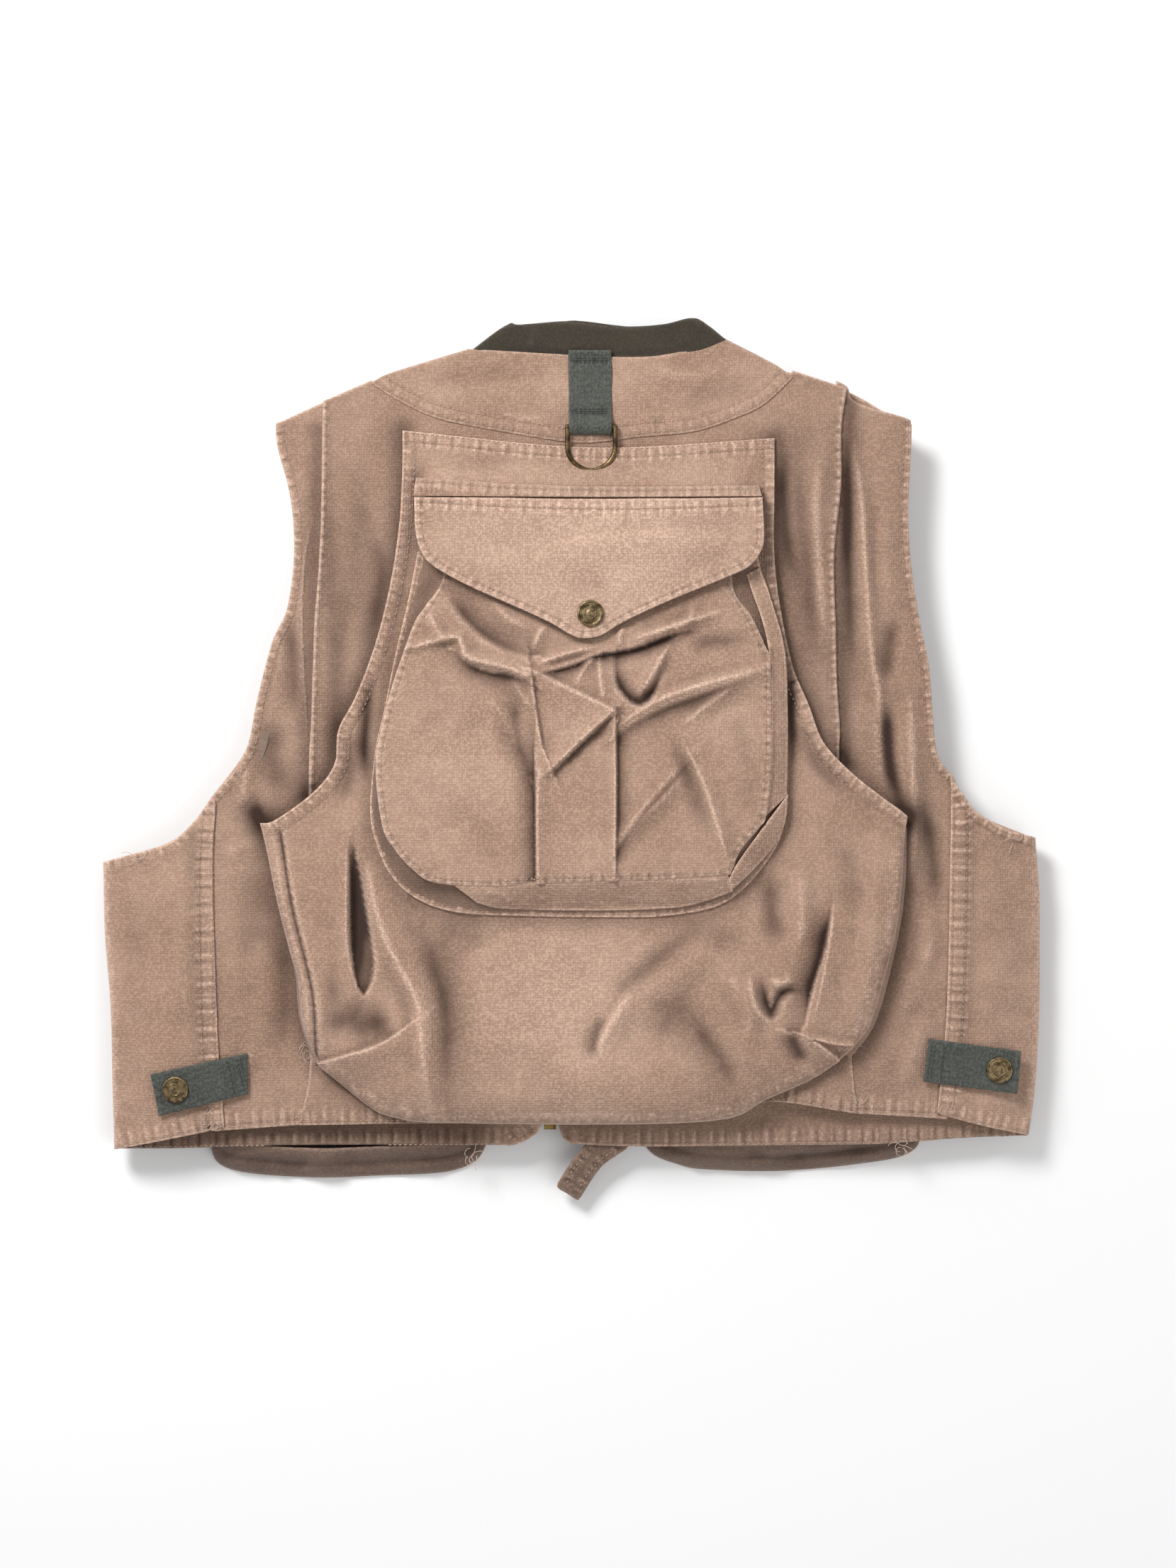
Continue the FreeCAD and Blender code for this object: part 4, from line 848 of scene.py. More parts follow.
collar_outline = [(-62.3, 246.5, 1), (-4, 243), (23.2, 241.7), (50.4, 242.2), (77.5, 247.7), (93, 254.5, 1),
                  (82.9, 262.7), (73.3, 267.5), (55.8, 263.6), (34.1, 262.4), (7, 265.4), (-3.9, 265.6),
                  (-30.9, 263.3), (-39.1, 263.3)]
collar = panel(collar_outline, near_back_neck, [
    rolled([(-62, 247), (-39.1, 263.3), (-3.9, 265.6), (34.1, 262.4), (73.3, 267.5), (92.4, 256)], 1.6, 4),
    fold([(-58, 249), (-20, 247), (20, 245.5), (60, 247), (90, 255)], -1.6, 3, 3, 1.4),
    fold([(-28, 246), (-22, 256), (-30, 263)], 0.9, 4, 5, 1.4),
    fold([(58, 247), (62, 257), (56, 263)], -0.9, 4, 4, 1.4),
], spacing=2.0, gauge=moleskin_gauge, edge_wear=0.25)
collar_left_outline = [(-18, 151, 1), (-36, 192), (-62, 246, 1), (-44, 246, 1), (-30, 204), (-18, 172, 1)]
collar_right_outline = [(-7, 151, 1), (36, 196), (90, 254, 1), (74, 250, 1), (34, 214), (-7, 172, 1)]
collar_left, collar_right = (
    panel(outline, lambda xy: 20.4 + 7 * ease((xy[:, 1] - 215) / 35), [], 3.5, moleskin_gauge)
    for outline in (collar_left_outline, collar_right_outline))
sewn("neck_band_cloth", [collar, collar_left, collar_right],
     [collar_outline, collar_left_outline, collar_right_outline], "neck_band",
     material=moleskin)

# Armhole facings: narrow bias strips of lining turned under each armhole edge, hidden when the
# vest is worn. They're cut along the armhole and lie flat below the back.

# Plain cotton lining: finer and smoother than the canvas, and never rubbed pale.
lining = garment_cloth("cotton_lining", "7d6a5d", "9c8878", "44382f", 0.5, 0.12)
lining_gauge = 0.7


def strip_outline(line, width):
    """The outline of a strip that follows a line, width mm to one side of it."""
    run = path(line, 8)
    ahead = np.gradient(run, axis=0)
    ahead /= np.hypot(*ahead.T)[:, None] + 1e-9
    inner = run + np.column_stack([-ahead[:, 1], ahead[:, 0]]) * width
    return ([(*run[0], 1)] + [tuple(p) for p in run[1:-1]] + [(*run[-1], 1), (*inner[-1], 1)]
            + [tuple(p) for p in inner[-2:0:-1]] + [(*inner[0], 1)])


for side_name, line, width in (("left", left_armhole, 11), ("right", right_armhole[1:], -11)):
    facing_outline = strip_outline(line, width)
    facing = panel(facing_outline, lifted(back_level, -2.9), [], 3.5, lining_gauge)
    sewn(f"{side_name}_armhole_facing_cloth", [facing], [facing_outline], f"{side_name}_armhole_facing",
         material=lining)

# Rear pouch: an apron of canvas on the back, open down both sides, with turned and stitched side
# hems, pleated corners and a belly that sags towards the hem.
pouch_outline = ([(*left_pouch_edge[0], 1)] + left_pouch_edge[1:-1]
                 + [(*left_pouch_edge[-1], 1)] + left_pouch_side[1:-1]
                 + [(*pouch_foot[0], 1)] + pouch_foot[1:-1]
                 + [(*pouch_foot[-1], 1)] + right_pouch_side[-2:0:-1]
                 + [(*right_pouch_edge[-1], 1)] + right_pouch_edge[-2:0:-1]
                 + [(*right_pouch_edge[0], 1), (12.5, 188.9)])


def worn_and_highlit_patch(x, y, reach, amount):
    """A broad patch that stands proud, painted paler than the rest: partly washed-out wear, partly a painted
    highlight.
    """
    def apply(xy, z, wear, shade):
        wear += amount * np.exp(-(np.hypot(xy[:, 0] - x, xy[:, 1] - y) / reach) ** 2)
    return apply, [], ()


def hollow(ring, drop, dark):
    """A pocket of cloth that has sunk between two folds, so that it lies in shadow; that shade is painted
    into it by dark.
    """
    def apply(xy, z, wear, shade):
        depth = ease(beside(xy, path(ring + [ring[0]], 4))[0] / 2.4) * inside(xy, ring)
        z -= drop * depth
        # painted shade inside the hollow
        shade += dark * depth
    return apply, [], ()


def bar_tack(x, y, angle, length=12):
    """A bar-tack, a short dense line of stitches, three rows a thread apart."""
    c, s = math.cos(math.radians(angle)) * length / 2, math.sin(math.radians(angle)) * length / 2
    return [([(x - c, y - s), (x + c, y + s)], side) for side in (-0.6, 0, 0.6)]


def rounding(xy, line, width):
    """A quarter round from 0 at a line to 1 at a width from it."""
    t = np.clip(beside(xy, path(line, 8))[0] / width, 0, 1)
    return np.sqrt(np.clip(1 - (1 - t) ** 2, 0, 1))


def pouch_level(xy):
    full = 29.9 + 0.0454 * (195 - xy[:, 1])
    rest = back_level(xy) + 1.6
    open_edges = np.minimum(*(beside(xy, path(edge, 8))[0] for edge in (left_pouch_edge, right_pouch_edge)))
    open_lift = 0.42 + 0.58 * ease(open_edges / 42)
    lip = 3.2 * np.exp(-(open_edges / 16) ** 2) * ease((188 - xy[:, 1]) / 60)
    sides = np.minimum(rounding(xy, left_pouch_side, 15), rounding(xy, right_pouch_side, 15))
    belly = rounding(xy, pouch_foot, 42)
    pillow = np.maximum(full - rest, 0) * open_lift * (0.25 + 0.75 * sides) * belly
    mouth = 6 * np.exp(-((xy[:, 1] - 164) / 15) ** 2) * (1 - ease((np.abs(xy[:, 0] - 10) - 84) / 20))
    sag = 1.5 * rumple(xy, 52, 8) + 0.9 * rumple(xy, 23, 9) + 0.3 * rumple(xy, 9, 10)
    sag = sag * ease((185 - xy[:, 1]) / 120)
    return rest + pillow + mouth + lip + sag * np.minimum(1, 0.3 + belly * open_lift)


pouch_head = [(-101, 196), (12.5, 186), (122, 191.5)]
pouch = panel(pouch_outline, pouch_level, [
    # broad paler patches: part wear, part painted highlight
    worn_and_highlit_patch(-10, -150, 62, 0.42), worn_and_highlit_patch(60, 180, 60, 0.1), worn_and_highlit_patch(-60, 180, 50, 0.1),
    seam(left_pouch_edge, rows=(7.2,), band=5, rise=0.5, pucker=0.5, seed=13),
    seam(right_pouch_edge, rows=(-7.2,), band=5, rise=0.5, pucker=0.5, seed=14),
    seam(pouch_head, rows=(-3,), band=6, rise=0.5, pucker=0.45, seed=15),
    seam([(-175.9, -42.7), (-168.1, -88.6), (-155.8, -139.6), (-154.1, -176.8), (-150, -183)], rows=(),
         band=2.2, rise=-1.1, pucker=0.1, worn=0.2, seed=30),
    # painted shade in the sunk gusset seam and round the cargo pocket's foot
    painted_edge_shade([(-175.2, -44), (-167.4, -88.6), (-155.2, -139.6), (-153.4, -176.8)], 1.1, 0.8),
    painted_edge_shade([(-93, 172), (-96, 130), (-104, 90), (-113, 40), (-119, 4), (-121, -33), (-113, -62), (-92, -85),
           (-60, -93), (0, -95), (62, -94), (96, -85), (124, -52), (131, -20), (131, 30), (129, 68),
           (120, 110), (114, 160)], 6, 0.35),
    # the sharp trough beside the left column, and the dart at its foot
    hollow([(-132, -44), (-125, -74), (-118.5, -108), (-117, -124), (-120, -136), (-125, -142),
            (-131, -126)], 2.4, 0.5),
    fold([(-132.5, -46), (-132.2, -70), (-131.6, -110), (-127, -138)], -8.0, 9.5, 0.8, 1.35, (0.1, 0.1),
         dark=0.85),
    fold([(-134.5, -40), (-134.2, -70), (-133.6, -112), (-128, -140)], 2.2, 1.0, 12, 1.3, worn=0.3),
    fold([(-126, -48), (-117, -86), (-110, -108), (-92.8, -141.3), (-90.4, -154), (-88, -180), (-84, -212)],
         4.6, 16, 9, 1.5, (0.2, 0.3), worn=0.35),
    fold([(-149.7, -181), (-134, -176), (-117.2, -170.5), (-104, -163), (-91, -153)], 5.0, 0.9, 24, 1.3,
         (1, 0.2), worn=0.75),
    fold([(-142, -146), (-124, -158), (-104, -152)], -5.2, 13, 12, 1.8, dark=0.4),
    fold([(-146, -120), (-142, -150), (-148, -174)], -2.4, 7, 8, 1.8, dark=0.2),
    fold([(-94, -92), (-82, -120), (-74, -156), (-75, -200)], -3.8, 17, 9, 1.6, (0.3, 0.5), dark=0.36),
    fold([(-84, -100), (-66, -104), (-54, -120)], -2.0, 14, 14, 1.9, dark=0.15),
    fold([(-60, -190), (-30, -184), (0, -196)], -1.6, 14, 12, 1.9),
    # right of the middle: small ridge, then the broad slanting rolls
    fold([(15, -180), (19, -166), (27, -152), (40.2, -129.7)], 2.4, 5, 12, 1.5, worn=0.2),
    fold([(12, -182), (15, -164), (22, -150)], -2.4, 8, 3, 1.6, dark=0.2),
    fold([(22, -144), (46, -124), (78, -98)], -2.2, 8, 9, 1.8, dark=0.2),
    fold([(24, -158), (52, -132), (92, -102)], 2.4, 12, 16, 1.9),
    fold([(64, -150), (80, -166), (92, -184), (98, -204)], -4.0, 9, 15, 1.5, (0.2, 0.2), dark=0.3),
    fold([(46, -176), (62, -152), (82, -140)], -2.4, 12, 12, 1.8, dark=0.2),
    fold([(84, -122), (98, -134), (106, -152), (104, -176)], 2.8, 9, 9, 1.6),
    fold([(112.5, -126), (115, -138), (119.6, -151), (123, -143), (130, -137), (142, -140)], -4.0, 4, 4.5,
         1.4, dark=0.6),
    fold([(106, -124), (108, -140), (113, -152), (122, -158)], 3.2, 4, 8, 1.3, worn=0.25),
    fold([(118, -130), (124, -134), (134, -130)], 3.0, 6, 5, 1.4, worn=0.25),
    fold([(118, -62), (120, -90), (123, -116)], -3.2, 8, 8, 1.7, dark=0.25),
    fold([(136, -60), (138, -92), (134, -118)], 2.6, 9, 9, 1.7),
    fold([(155.8, -84), (151, -112), (144, -135), (138.5, -158)], -7.0, 1.2, 12, 1.4, (0.1, 0.3), dark=0.75),
    fold([(158, -78), (154, -110), (149, -136), (144, -160)], 2.2, 12, 1.2, 1.3, worn=0.4),
    fold([(132, -162), (140, -164.5), (153.8, -174), (162, -181)], 4.6, 1.0, 14, 1.2, (0.6, 1), worn=0.7),
    fold([(140, -165), (158, -170), (169.5, -171)], 3.2, 5, 1.0, 1.2, (0.6, 1), worn=0.6),
    fold([(128, -158), (134, -170), (142, -184)], -3.6, 5, 9, 1.6, dark=0.35),
    fold([(176, -50), (180, -84), (176, -130), (164, -160)], 1.6, 10, 12, 1.8),
    fold([(158, -36), (166, -64), (168, -100)], -1.8, 11, 11, 1.9, dark=0.1),
    fold([(60, -104), (80, -104), (108, -112)], -1.8, 9, 10, 1.8, dark=0.1),
    fold([(-128, 26), (-134, -10), (-140, -30)], -2.6, 7, 8, 1.7, dark=0.25),
    fold([(-120, 60), (-124, 20), (-124, -20)], -3.0, 5, 5, 1.6, dark=0.45),
    fold([(136, 30), (146, 0), (172, -24)], -2.4, 8, 6, 1.7, dark=0.15),
    fold([(134, 70), (132, 30), (134, -10)], -2.6, 5, 6, 1.7, dark=0.3),
    fold([(-98, 180), (-60, 178), (-20, 184)], -0.9, 7, 7, 2),
    fold([(60, 184), (90, 178), (114, 180)], 0.9, 7, 7, 2),
], spacing=2.1)
sewn("rear_pouch_cloth", [pouch], [pouch_outline], "rear_pouch_panel", 1.06)
stitched("rear_pouch_stitching", [(left_pouch_edge, 7.2), (right_pouch_edge, -7.2),
                                  (left_pouch_edge[:-1], 1.5), (pouch_head, -3), (pouch_head, 2)]
         + bar_tack(-97, 193, -4) + bar_tack(117, 189, 3), [pouch])

# Pouch gussets: a strip of the same canvas down each side between the apron and the back, sewn
# to both and folded flat while the pouch is empty.
left_gusset = band_between([(-183.5, -42), (-175, -82), (-166, -113.3), (-160.5, -131), (-158, -157.5),
                            (-149, -182)],
                           [(-185.5, -42), (-178, -84), (-170.8, -113.3), (-166.5, -131), (-163.8, -157.5),
                            (-155, -184)],
                           lifted(pouch_level, -1.6), lifted(back_level, -0.4), 1.2, 6, seed=1)
right_gusset = band_between([(197, -40), (194.5, -76.2), (189.6, -109.9), (177, -153.1), (163, -175)],
                            [(202.5, -40), (201.5, -76.2), (196.6, -109.9), (184, -157), (168, -180)],
                            lifted(pouch_level, -1.6), lifted(back_level, -0.4), 1.6, 6, seed=2)
left_cut = [(-187, -42, 1), (-150, -184, 1), (-164, -184, 1), (-200, -42, 1)]
right_cut = [(197, -40, 1), (163, -180, 1), (178, -180, 1), (214, -40, 1)]
sewn("left_pouch_gusset_cloth", [left_gusset], [left_cut], "left_pouch_gusset", 1.15)
sewn("right_pouch_gusset_cloth", [right_gusset], [right_cut], "right_pouch_gusset", 1.15)

# Cargo pocket: a bellows pocket on the pouch, its face gathered by a pleat behind the snap and
# badly creased, its gusset a folded strip of canvas all round. Two rows of stitches at its edge.
cargo_outline = [(-80, 150, 1), (-76.7, 111.6), (-86.9, 93.5), (-93.7, 83.3), (-100.6, 64.5), (-107.4, 44),
                 (-113.4, 20.2), (-116.8, -3.8), (-112.8, -38), (-105.8, -52.1), (-94.6, -64.8),
                 (-81.8, -72.5), (-50.8, -75.4), (-20.4, -73.7), (25.3, -72), (60, -71), (94.5, -68, 1),
                 (100.5, -54), (112, -40), (116.2, -32.9), (119.1, -5.6), (119.6, 25.7), (119.1, 58.9),
                 (116.2, 68.6), (108.2, 86.1), (96.7, 105.6), (98, 150, 1)]


def cargo_plane(xy):
    """The cargo pocket leans: its foot stands further out than its mouth."""
    return 38.58 + 0.0787 * (158 - xy[:, 1])


def cargo_level(xy):
    edge = beside(xy, path(cargo_outline + [cargo_outline[0]], 8))[0]
    puff = 3.2 * np.sqrt(np.clip(1 - (1 - np.clip(edge / 16, 0, 1)) ** 2, 0, 1))
    soft = 0.8 * rumple(xy, 30, 11) + 0.5 * rumple(xy, 13, 12) + 0.2 * rumple(xy, 6, 13)
    return cargo_plane(xy) - 3.2 + puff + soft * ease(edge / 8)


def pressed_under_flap(xy, z, wear, shade):
    """The flap holds the face down flat, and the shadow the flap casts there is painted on as shade."""
    under = ease((xy[:, 1] - (72 + np.abs(xy[:, 0] - 9) * 0.36) + 4) / 8)
    top = cargo_plane(xy) + 1.6
    z[:] = np.where(under > 0, np.minimum(z, top + (1 - under) * 6), z)
    # painted shadow of the flap
    shade += 0.25 * under


cargo_edge = cargo_outline[1:-1]
cargo = panel(cargo_outline, cargo_level, [
    # broad paler patches: part wear, part painted highlight
    worn_and_highlit_patch(-60, 0, 46, 0.22), worn_and_highlit_patch(80, 30, 40, 0.12), worn_and_highlit_patch(4, 24, 18, 0.25), worn_and_highlit_patch(4, -50, 26, 0.15),
    seam([p[:2] for p in cargo_edge], rows=(3.4,), band=4.5, rise=0.5, pucker=0.45, seed=16),
    # the folded kite beside the pleat
    fold([(-24.3, 54.4), (-20.4, 25.5), (-17.4, 8.9), (-11.6, -5.3)], 4.6, 1.0, 26, 1.1, (0.7, 0.5),
         worn=0.75),
    fold([(-24.3, 54.4), (0, 42.4), (25.5, 29.8)], 3.6, 3, 20, 1.1, (0.6, 0.6), worn=0.7),
    fold([(25.5, 29.8), (8, 14), (-11.6, -5.3)], 4.2, 1.2, 16, 1.1, (0.5, 0.7), worn=0.7),
    fold([(-10, -7), (6, 9), (24, 26)], -3.6, 0.9, 8, 1.3, (0.6, 0.6), dark=0.24),
    # the pleat down to the foot
    fold([(-20, -9.6), (-20.5, -40), (-20, -73.6)], 2.4, 9, 0.9, 1.1, (0.8, 1), worn=0.6),
    fold([(25.9, 29.4), (26.5, -20), (25.9, -72.1)], 2.6, 0.9, 7, 1.1, (0.8, 1), worn=0.65),
    fold([(-21.4, 30), (-22.5, 6), (-22, -20), (-21.5, -72)], -3.2, 1.0, 10, 1.4, (0.3, 1), dark=0.5),
    fold([(27.6, 22), (27.8, -4), (27.4, -60)], -2.8, 8, 0.9, 1.4, (0.8, 0.2), dark=0.45),
    # crumple below the snap
    fold([(-14.1, 82.1), (-20, 74), (-23.3, 64.6)], 3.4, 7, 4, 1.2, worn=0.5),
    fold([(-23.3, 56.7), (-4, 63), (16.7, 68.5)], 4.2, 8, 3, 1.1, worn=0.6),
    fold([(-20, 51), (-6, 54), (6, 58), (15, 63)], -4.2, 1.6, 8, 1.25, (0.3, 0.5), dark=0.45),
    fold([(16.7, 68.5), (17, 52), (19.7, 33.3)], 3.6, 8, 4, 1.1, worn=0.6),
    fold([(2.1, 43.1), (8, 55), (16.7, 66)], 2.6, 5, 5, 1.1, worn=0.5),
    fold([(31.8, 81.2), (29, 75), (28.4, 66)], 3.0, 5, 4, 1.1, worn=0.4),
    fold([(18.6, 63), (26, 64), (40, 67), (58, 74), (70, 77)], -5.4, 1.6, 8, 1.2, (0.8, 0.2), dark=0.9),
    fold([(30, 70), (60, 80), (95, 91)], 4.6, 6, 9, 1.2, worn=0.6),
    fold([(59.7, 73), (51.9, 56.8), (44, 44), (36.2, 35.3)], 4.6, 5, 9, 1.2, worn=0.6),
    fold([(27, 62), (28, 48), (33, 39), (41, 34.5), (48, 40), (53, 52)], -5.0, 7, 2.6, 1.3, (0.3, 0.3),
         dark=0.62),
    fold([(26.5, 19.7), (48, 34), (71.4, 43.1), (118, 55.8)], 4.0, 7, 11, 1.3, (0.5, 0.4), worn=0.5),
    fold([(28, 14), (54, 29), (80, 38.5), (114, 50)], -3.2, 2.5, 13, 1.5, (0.5, 0.2), dark=0.2),
    fold([(66, 66), (88, 71), (112, 72)], -2.8, 6, 7, 1.6, dark=0.15),
    fold([(74, 96), (70, 84), (60, 76)], 2.4, 6, 6, 1.4),
    fold([(26.5, -56.5), (38, -39), (58, -19.5), (71.4, -3.8)], 3.0, 9, 10, 1.4, worn=0.3),
    fold([(28, -54), (36, -42), (50, -24), (74, 2)], -3.0, 2.4, 10, 1.4, (0.8, 0.2), dark=0.3),
    fold([(63.6, 18.7), (79.2, -15.5), (90.9, -52.6), (95, -70)], 3.6, 9, 7, 1.15, worn=0.6),
    fold([(63.6, 18.7), (80, 32), (100.7, 47)], 2.6, 6, 8, 1.2, worn=0.4),
    fold([(56, 22), (70, -12), (80, -50)], -2.6, 9, 6, 1.7, dark=0.1),
    fold([(98, 30), (106, 0), (104, -40)], -1.8, 9, 8, 1.7),
    fold([(-100.4, 66.5), (-82, 71), (-67.2, 73.3), (-63.3, 62.6), (-50, 58), (-39.9, 55.8), (-26.2, 50.9)],
         4.2, 8, 4, 1.2, (0.5, 0.6), worn=0.6),
    fold([(-70, 64), (-62, 57), (-50, 52), (-36, 50), (-26, 46)], -4.4, 2, 12, 1.3, (0.3, 0.5), dark=0.42),
    fold([(-76, 108), (-66, 90), (-52, 76), (-38, 68), (-25, 64)], -4.0, 13, 3.5, 1.5, (0.2, 0.6), dark=0.34),
    fold([(-86, 92), (-80, 78), (-72, 70)], 2.4, 5, 7, 1.3),
    fold([(-50, 98), (-36, 84), (-22, 78)], 2.4, 8, 6, 1.5),
    fold([(-36, 49), (-30, 40), (-22, 29)], 2.2, 5, 5, 1.3),
    fold([(-52, 40), (-40, 26), (-30, 6)], 2.2, 9, 7, 1.5),
    fold([(-96, 44), (-70, 30), (-44, 16)], -1.4, 14, 14, 2),
    fold([(-31, 44), (-34, 26), (-32, 10), (-26, -8)], -3.2, 5, 12, 1.6, (0.3, 0.4), dark=0.24),
    fold([(-92, 10), (-70, -16), (-44, -34)], 1.5, 14, 14, 2),
    fold([(-60, -30), (-48, -50), (-46, -70)], -1.6, 8, 9, 1.8),
    (pressed_under_flap, [], ()),
], spacing=1.7)
gusset_foot = [(-92.4, 126), (-98.8, 93.5), (-105.7, 64.5), (-112.5, 30.4), (-117.8, 4.9), (-120.4, -32.5),
               (-113.8, -57.8), (-104.3, -73.3), (-91.7, -83.1), (-74.8, -89.5), (-49.5, -92.4),
               (18.9, -93.7), (61.2, -92.4), (95, -83.1), (122.5, -52.1), (128.9, -21), (129.4, 25.7),
               (127.7, 66.5), (120.1, 92), (111.1, 126)]
gusset_head = [(-76, 126), (-76, 108), (-84, 93.5), (-97.6, 64.5), (-110, 24), (-113.8, -3.8), (-110, -38),
               (-102.8, -51.1), (-92.6, -61.8), (-80.8, -69.5), (-50.8, -72.4), (-20.4, -70.7), (25.3, -69),
               (90, -66), (98, -54), (112, -33.5), (116.1, -5.6), (116.6, 25.7), (115.1, 58.9),
               (104.2, 86.1), (93, 104), (93, 126)]
# Two lengths of the gusset lie folded over, flat under the foot of the face and up its right side.
foot_fold_outline = [(-70, -74, 1), (-20, -72), (25.3, -71), (93, -67, 1), (96.5, -78, 1), (80, -84),
                     (61, -88), (18, -89.6), (-38, -88.6), (-56, -85, 1)]
side_fold_outline = [(129.6, -20, 1), (112, -43), (95, -67.7), (96, -77, 1), (110, -64), (122, -50),
                     (128, -36)]
upper_fold_outline = [(105, 112, 1), (118.2, 66), (119, 0), (115, -34, 1), (128.9, -21, 1), (129.6, 25.7),
                      (127.9, 66.5), (119, 100), (113, 116, 1)]
face_edge_line = path([p[:2] for p in cargo_outline[1:-1]], 6)


def gusset_fold_level(xy):
    share = np.clip(beside(xy, face_edge_line)[0] / 15, 0, 1)
    high = cargo_plane(xy) - 2.4
    return high + (pouch_level(xy) + 4.2 - high) * share + 0.4 * rumple(xy, 20, 44)


foot_fold = panel(foot_fold_outline, gusset_fold_level, [
    fold([(-56, -77), (-40, -80), (-34, -86)], 1.2, 4, 4, 1.3),
    # painted shade under the edge of the pocket's face
    painted_edge_shade([(-70, -74), (25, -71.6), (93, -67.6)], 1.2, 0.4)], 1.8)
side_fold = panel(side_fold_outline, gusset_fold_level, [], 1.8)
upper_fold = panel(upper_fold_outline, gusset_fold_level, [
    # painted shade under the edge of the pocket's face
    painted_edge_shade([(119.5, 66), (120.3, 25), (119.8, -6), (117, -33)], 1.6, 0.5)], 1.8)
# the bellows lies far under the face, so its marks carry strong painted shade
bellows = band_between(gusset_head, gusset_foot, lifted(cargo_plane, -3.2), lifted(pouch_level, 0.4),
                       1.2, 12, seed=3, wrinkle=1.5, depth=0.6)
foot_outline = [(*gusset_foot[0], 1)] + gusset_foot[1:-1] + [(*gusset_foot[-1], 1)]
welt_inner = [(x * 0.955 + 0.4, y * 0.955 + 0.6) for x, y in gusset_foot[::-1]]
welt_outline = foot_outline + [(*welt_inner[0], 1)] + welt_inner[1:-1] + [(*welt_inner[-1], 1)]
welt = panel(welt_outline, lifted(pouch_level, 1.4), [
    seam(gusset_foot, rows=(1.8,), band=3.5, rise=0.3, pucker=0.4, seed=17)], 2.2)
sewn("cargo_pocket_cloth", [cargo], [cargo_outline], "cargo_pocket_panel", 1.12)
sewn("cargo_gusset_cloth", [bellows, welt, foot_fold, side_fold, upper_fold],
     [welt_outline, foot_fold_outline, side_fold_outline, upper_fold_outline,
      [(0, 0, 1), (620, 0, 1), (620, 17, 1), (0, 17, 1)]], "cargo_pocket_gusset", 1.1)
stitched("cargo_pocket_stitching", [([p[:2] for p in cargo_edge], 3.4)], [cargo])
stitched("cargo_gusset_stitching", [(gusset_foot, 1.8)], [welt])

# Flap: two plies of canvas with a turned point, hung from a strip that is sewn to the pouch and
# bar-tacked at both ends. It folds up along the strip's lower edge.
def flap_level(xy):
    curl = 1.0 * np.exp(-((xy[:, 1] - 129) / 13) ** 2) - 0.8 * ease((xy[:, 1] - 150) / 8)
    soft = 0.5 * rumple(xy, 40, 14) + 0.3 * rumple(xy, 15, 15) + 0.1 * rumple(xy, 6, 16)
    return cargo_plane(xy) + 5.4 + curl + soft


flap_edge = [(-94.1, 157.6), (-92.7, 134.9), (-88.7, 123.2), (-83.9, 117.5), (-75, 111.6), (-57.6, 102.6),
             (-16.5, 84.2), (-1.1, 75.4), (6.9, 72.9), (17.6, 74.6), (32.1, 83.1), (57.6, 95), (90.7, 108.6),
             (105.4, 115.4), (112.2, 123.2), (115.2, 132.9), (114.4, 157.4)]
flap_outline = ([(*flap_edge[0], 1)] + flap_edge[1:-1]
                + [(*flap_edge[-1], 1), (60, 157.2), (12.5, 157), (-40, 157.4)])
flap_head = [(-92, 155), (-40, 152), (12.5, 150.6), (60, 151), (113, 153)]
flap = panel(flap_outline, flap_level, [
    # broad paler patches: part wear, part painted highlight
    worn_and_highlit_patch(20, 122, 62, 0.5), worn_and_highlit_patch(-50, 135, 40, 0.25), worn_and_highlit_patch(70, 140, 40, 0.2),
    seam(flap_edge, rows=(4,), band=5, rise=0.5, pucker=0.5, seed=18),
    seam(flap_head, rows=(0,), band=4.5, rise=0.2, pucker=0.35, seed=26),
    fold([(-30, 124), (30, 130), (92, 135)], 1.4, 9, 12, 2),
    fold([(-6, 99), (10, 105), (28, 102)], -1.5, 11, 9, 2.0),
    fold([(-60, 136), (-30, 132), (0, 138)], -1.0, 9, 9, 2),
    fold([(-84, 146), (-60, 122), (-30, 108)], 1.0, 12, 12, 2),
    fold([(50, 148), (80, 140), (108, 146)], -1.0, 9, 8, 2),
    fold([(60, 112), (82, 122), (104, 126)], -1.2, 7, 7, 1.8),
], spacing=1.9)
flap_lining_outline = ([(-92, 156, 1)] + [(x * 0.985 + 0.2, y + 1.0) for x, y in flap_edge[1:-1]]
                       + [(112.5, 154, 1)])
flap_lining = panel(flap_lining_outline, lifted(flap_level, -1.5), [], 4.0, lining_gauge)
sewn("cargo_flap_cloth", [flap], [flap_outline], "cargo_flap", body="cargo_flap")
sewn("cargo_flap_lining_cloth", [flap_lining], [flap_lining_outline], "cargo_flap_lining", body="cargo_flap",
     material=lining)
stitched("cargo_flap_stitching", [(flap_edge[1:-1], 4), (flap_head, 0)], [flap], "cargo_flap")

# Flap strip: the narrow canvas strip that the flap hangs from, stitched along its top and
# bar-tacked at both ends.
strip_outline_points = [(-93.4, 170.4, 1), (-40, 166.4), (12.5, 164.6), (60, 164.6), (112.7, 165.6, 1),
                        (114.2, 158.2, 1), (60, 157.8), (12.5, 157.6), (-40, 158), (-94.3, 158.4, 1)]


def strip_top(x):
    """Height up the back of the strip's sewn edge."""
    return np.interp(x, [-93, -40, 12.5, 60, 112.7], [170.4, 166.4, 164.6, 164.6, 165.6])


def strip_level(xy):
    share = np.clip((strip_top(xy[:, 0]) - xy[:, 1] + 0.5) / 7, 0, 1) ** 0.8
    low = pouch_level(xy) + 1.5
    return low + (cargo_plane(xy) + 5.9 - low) * share


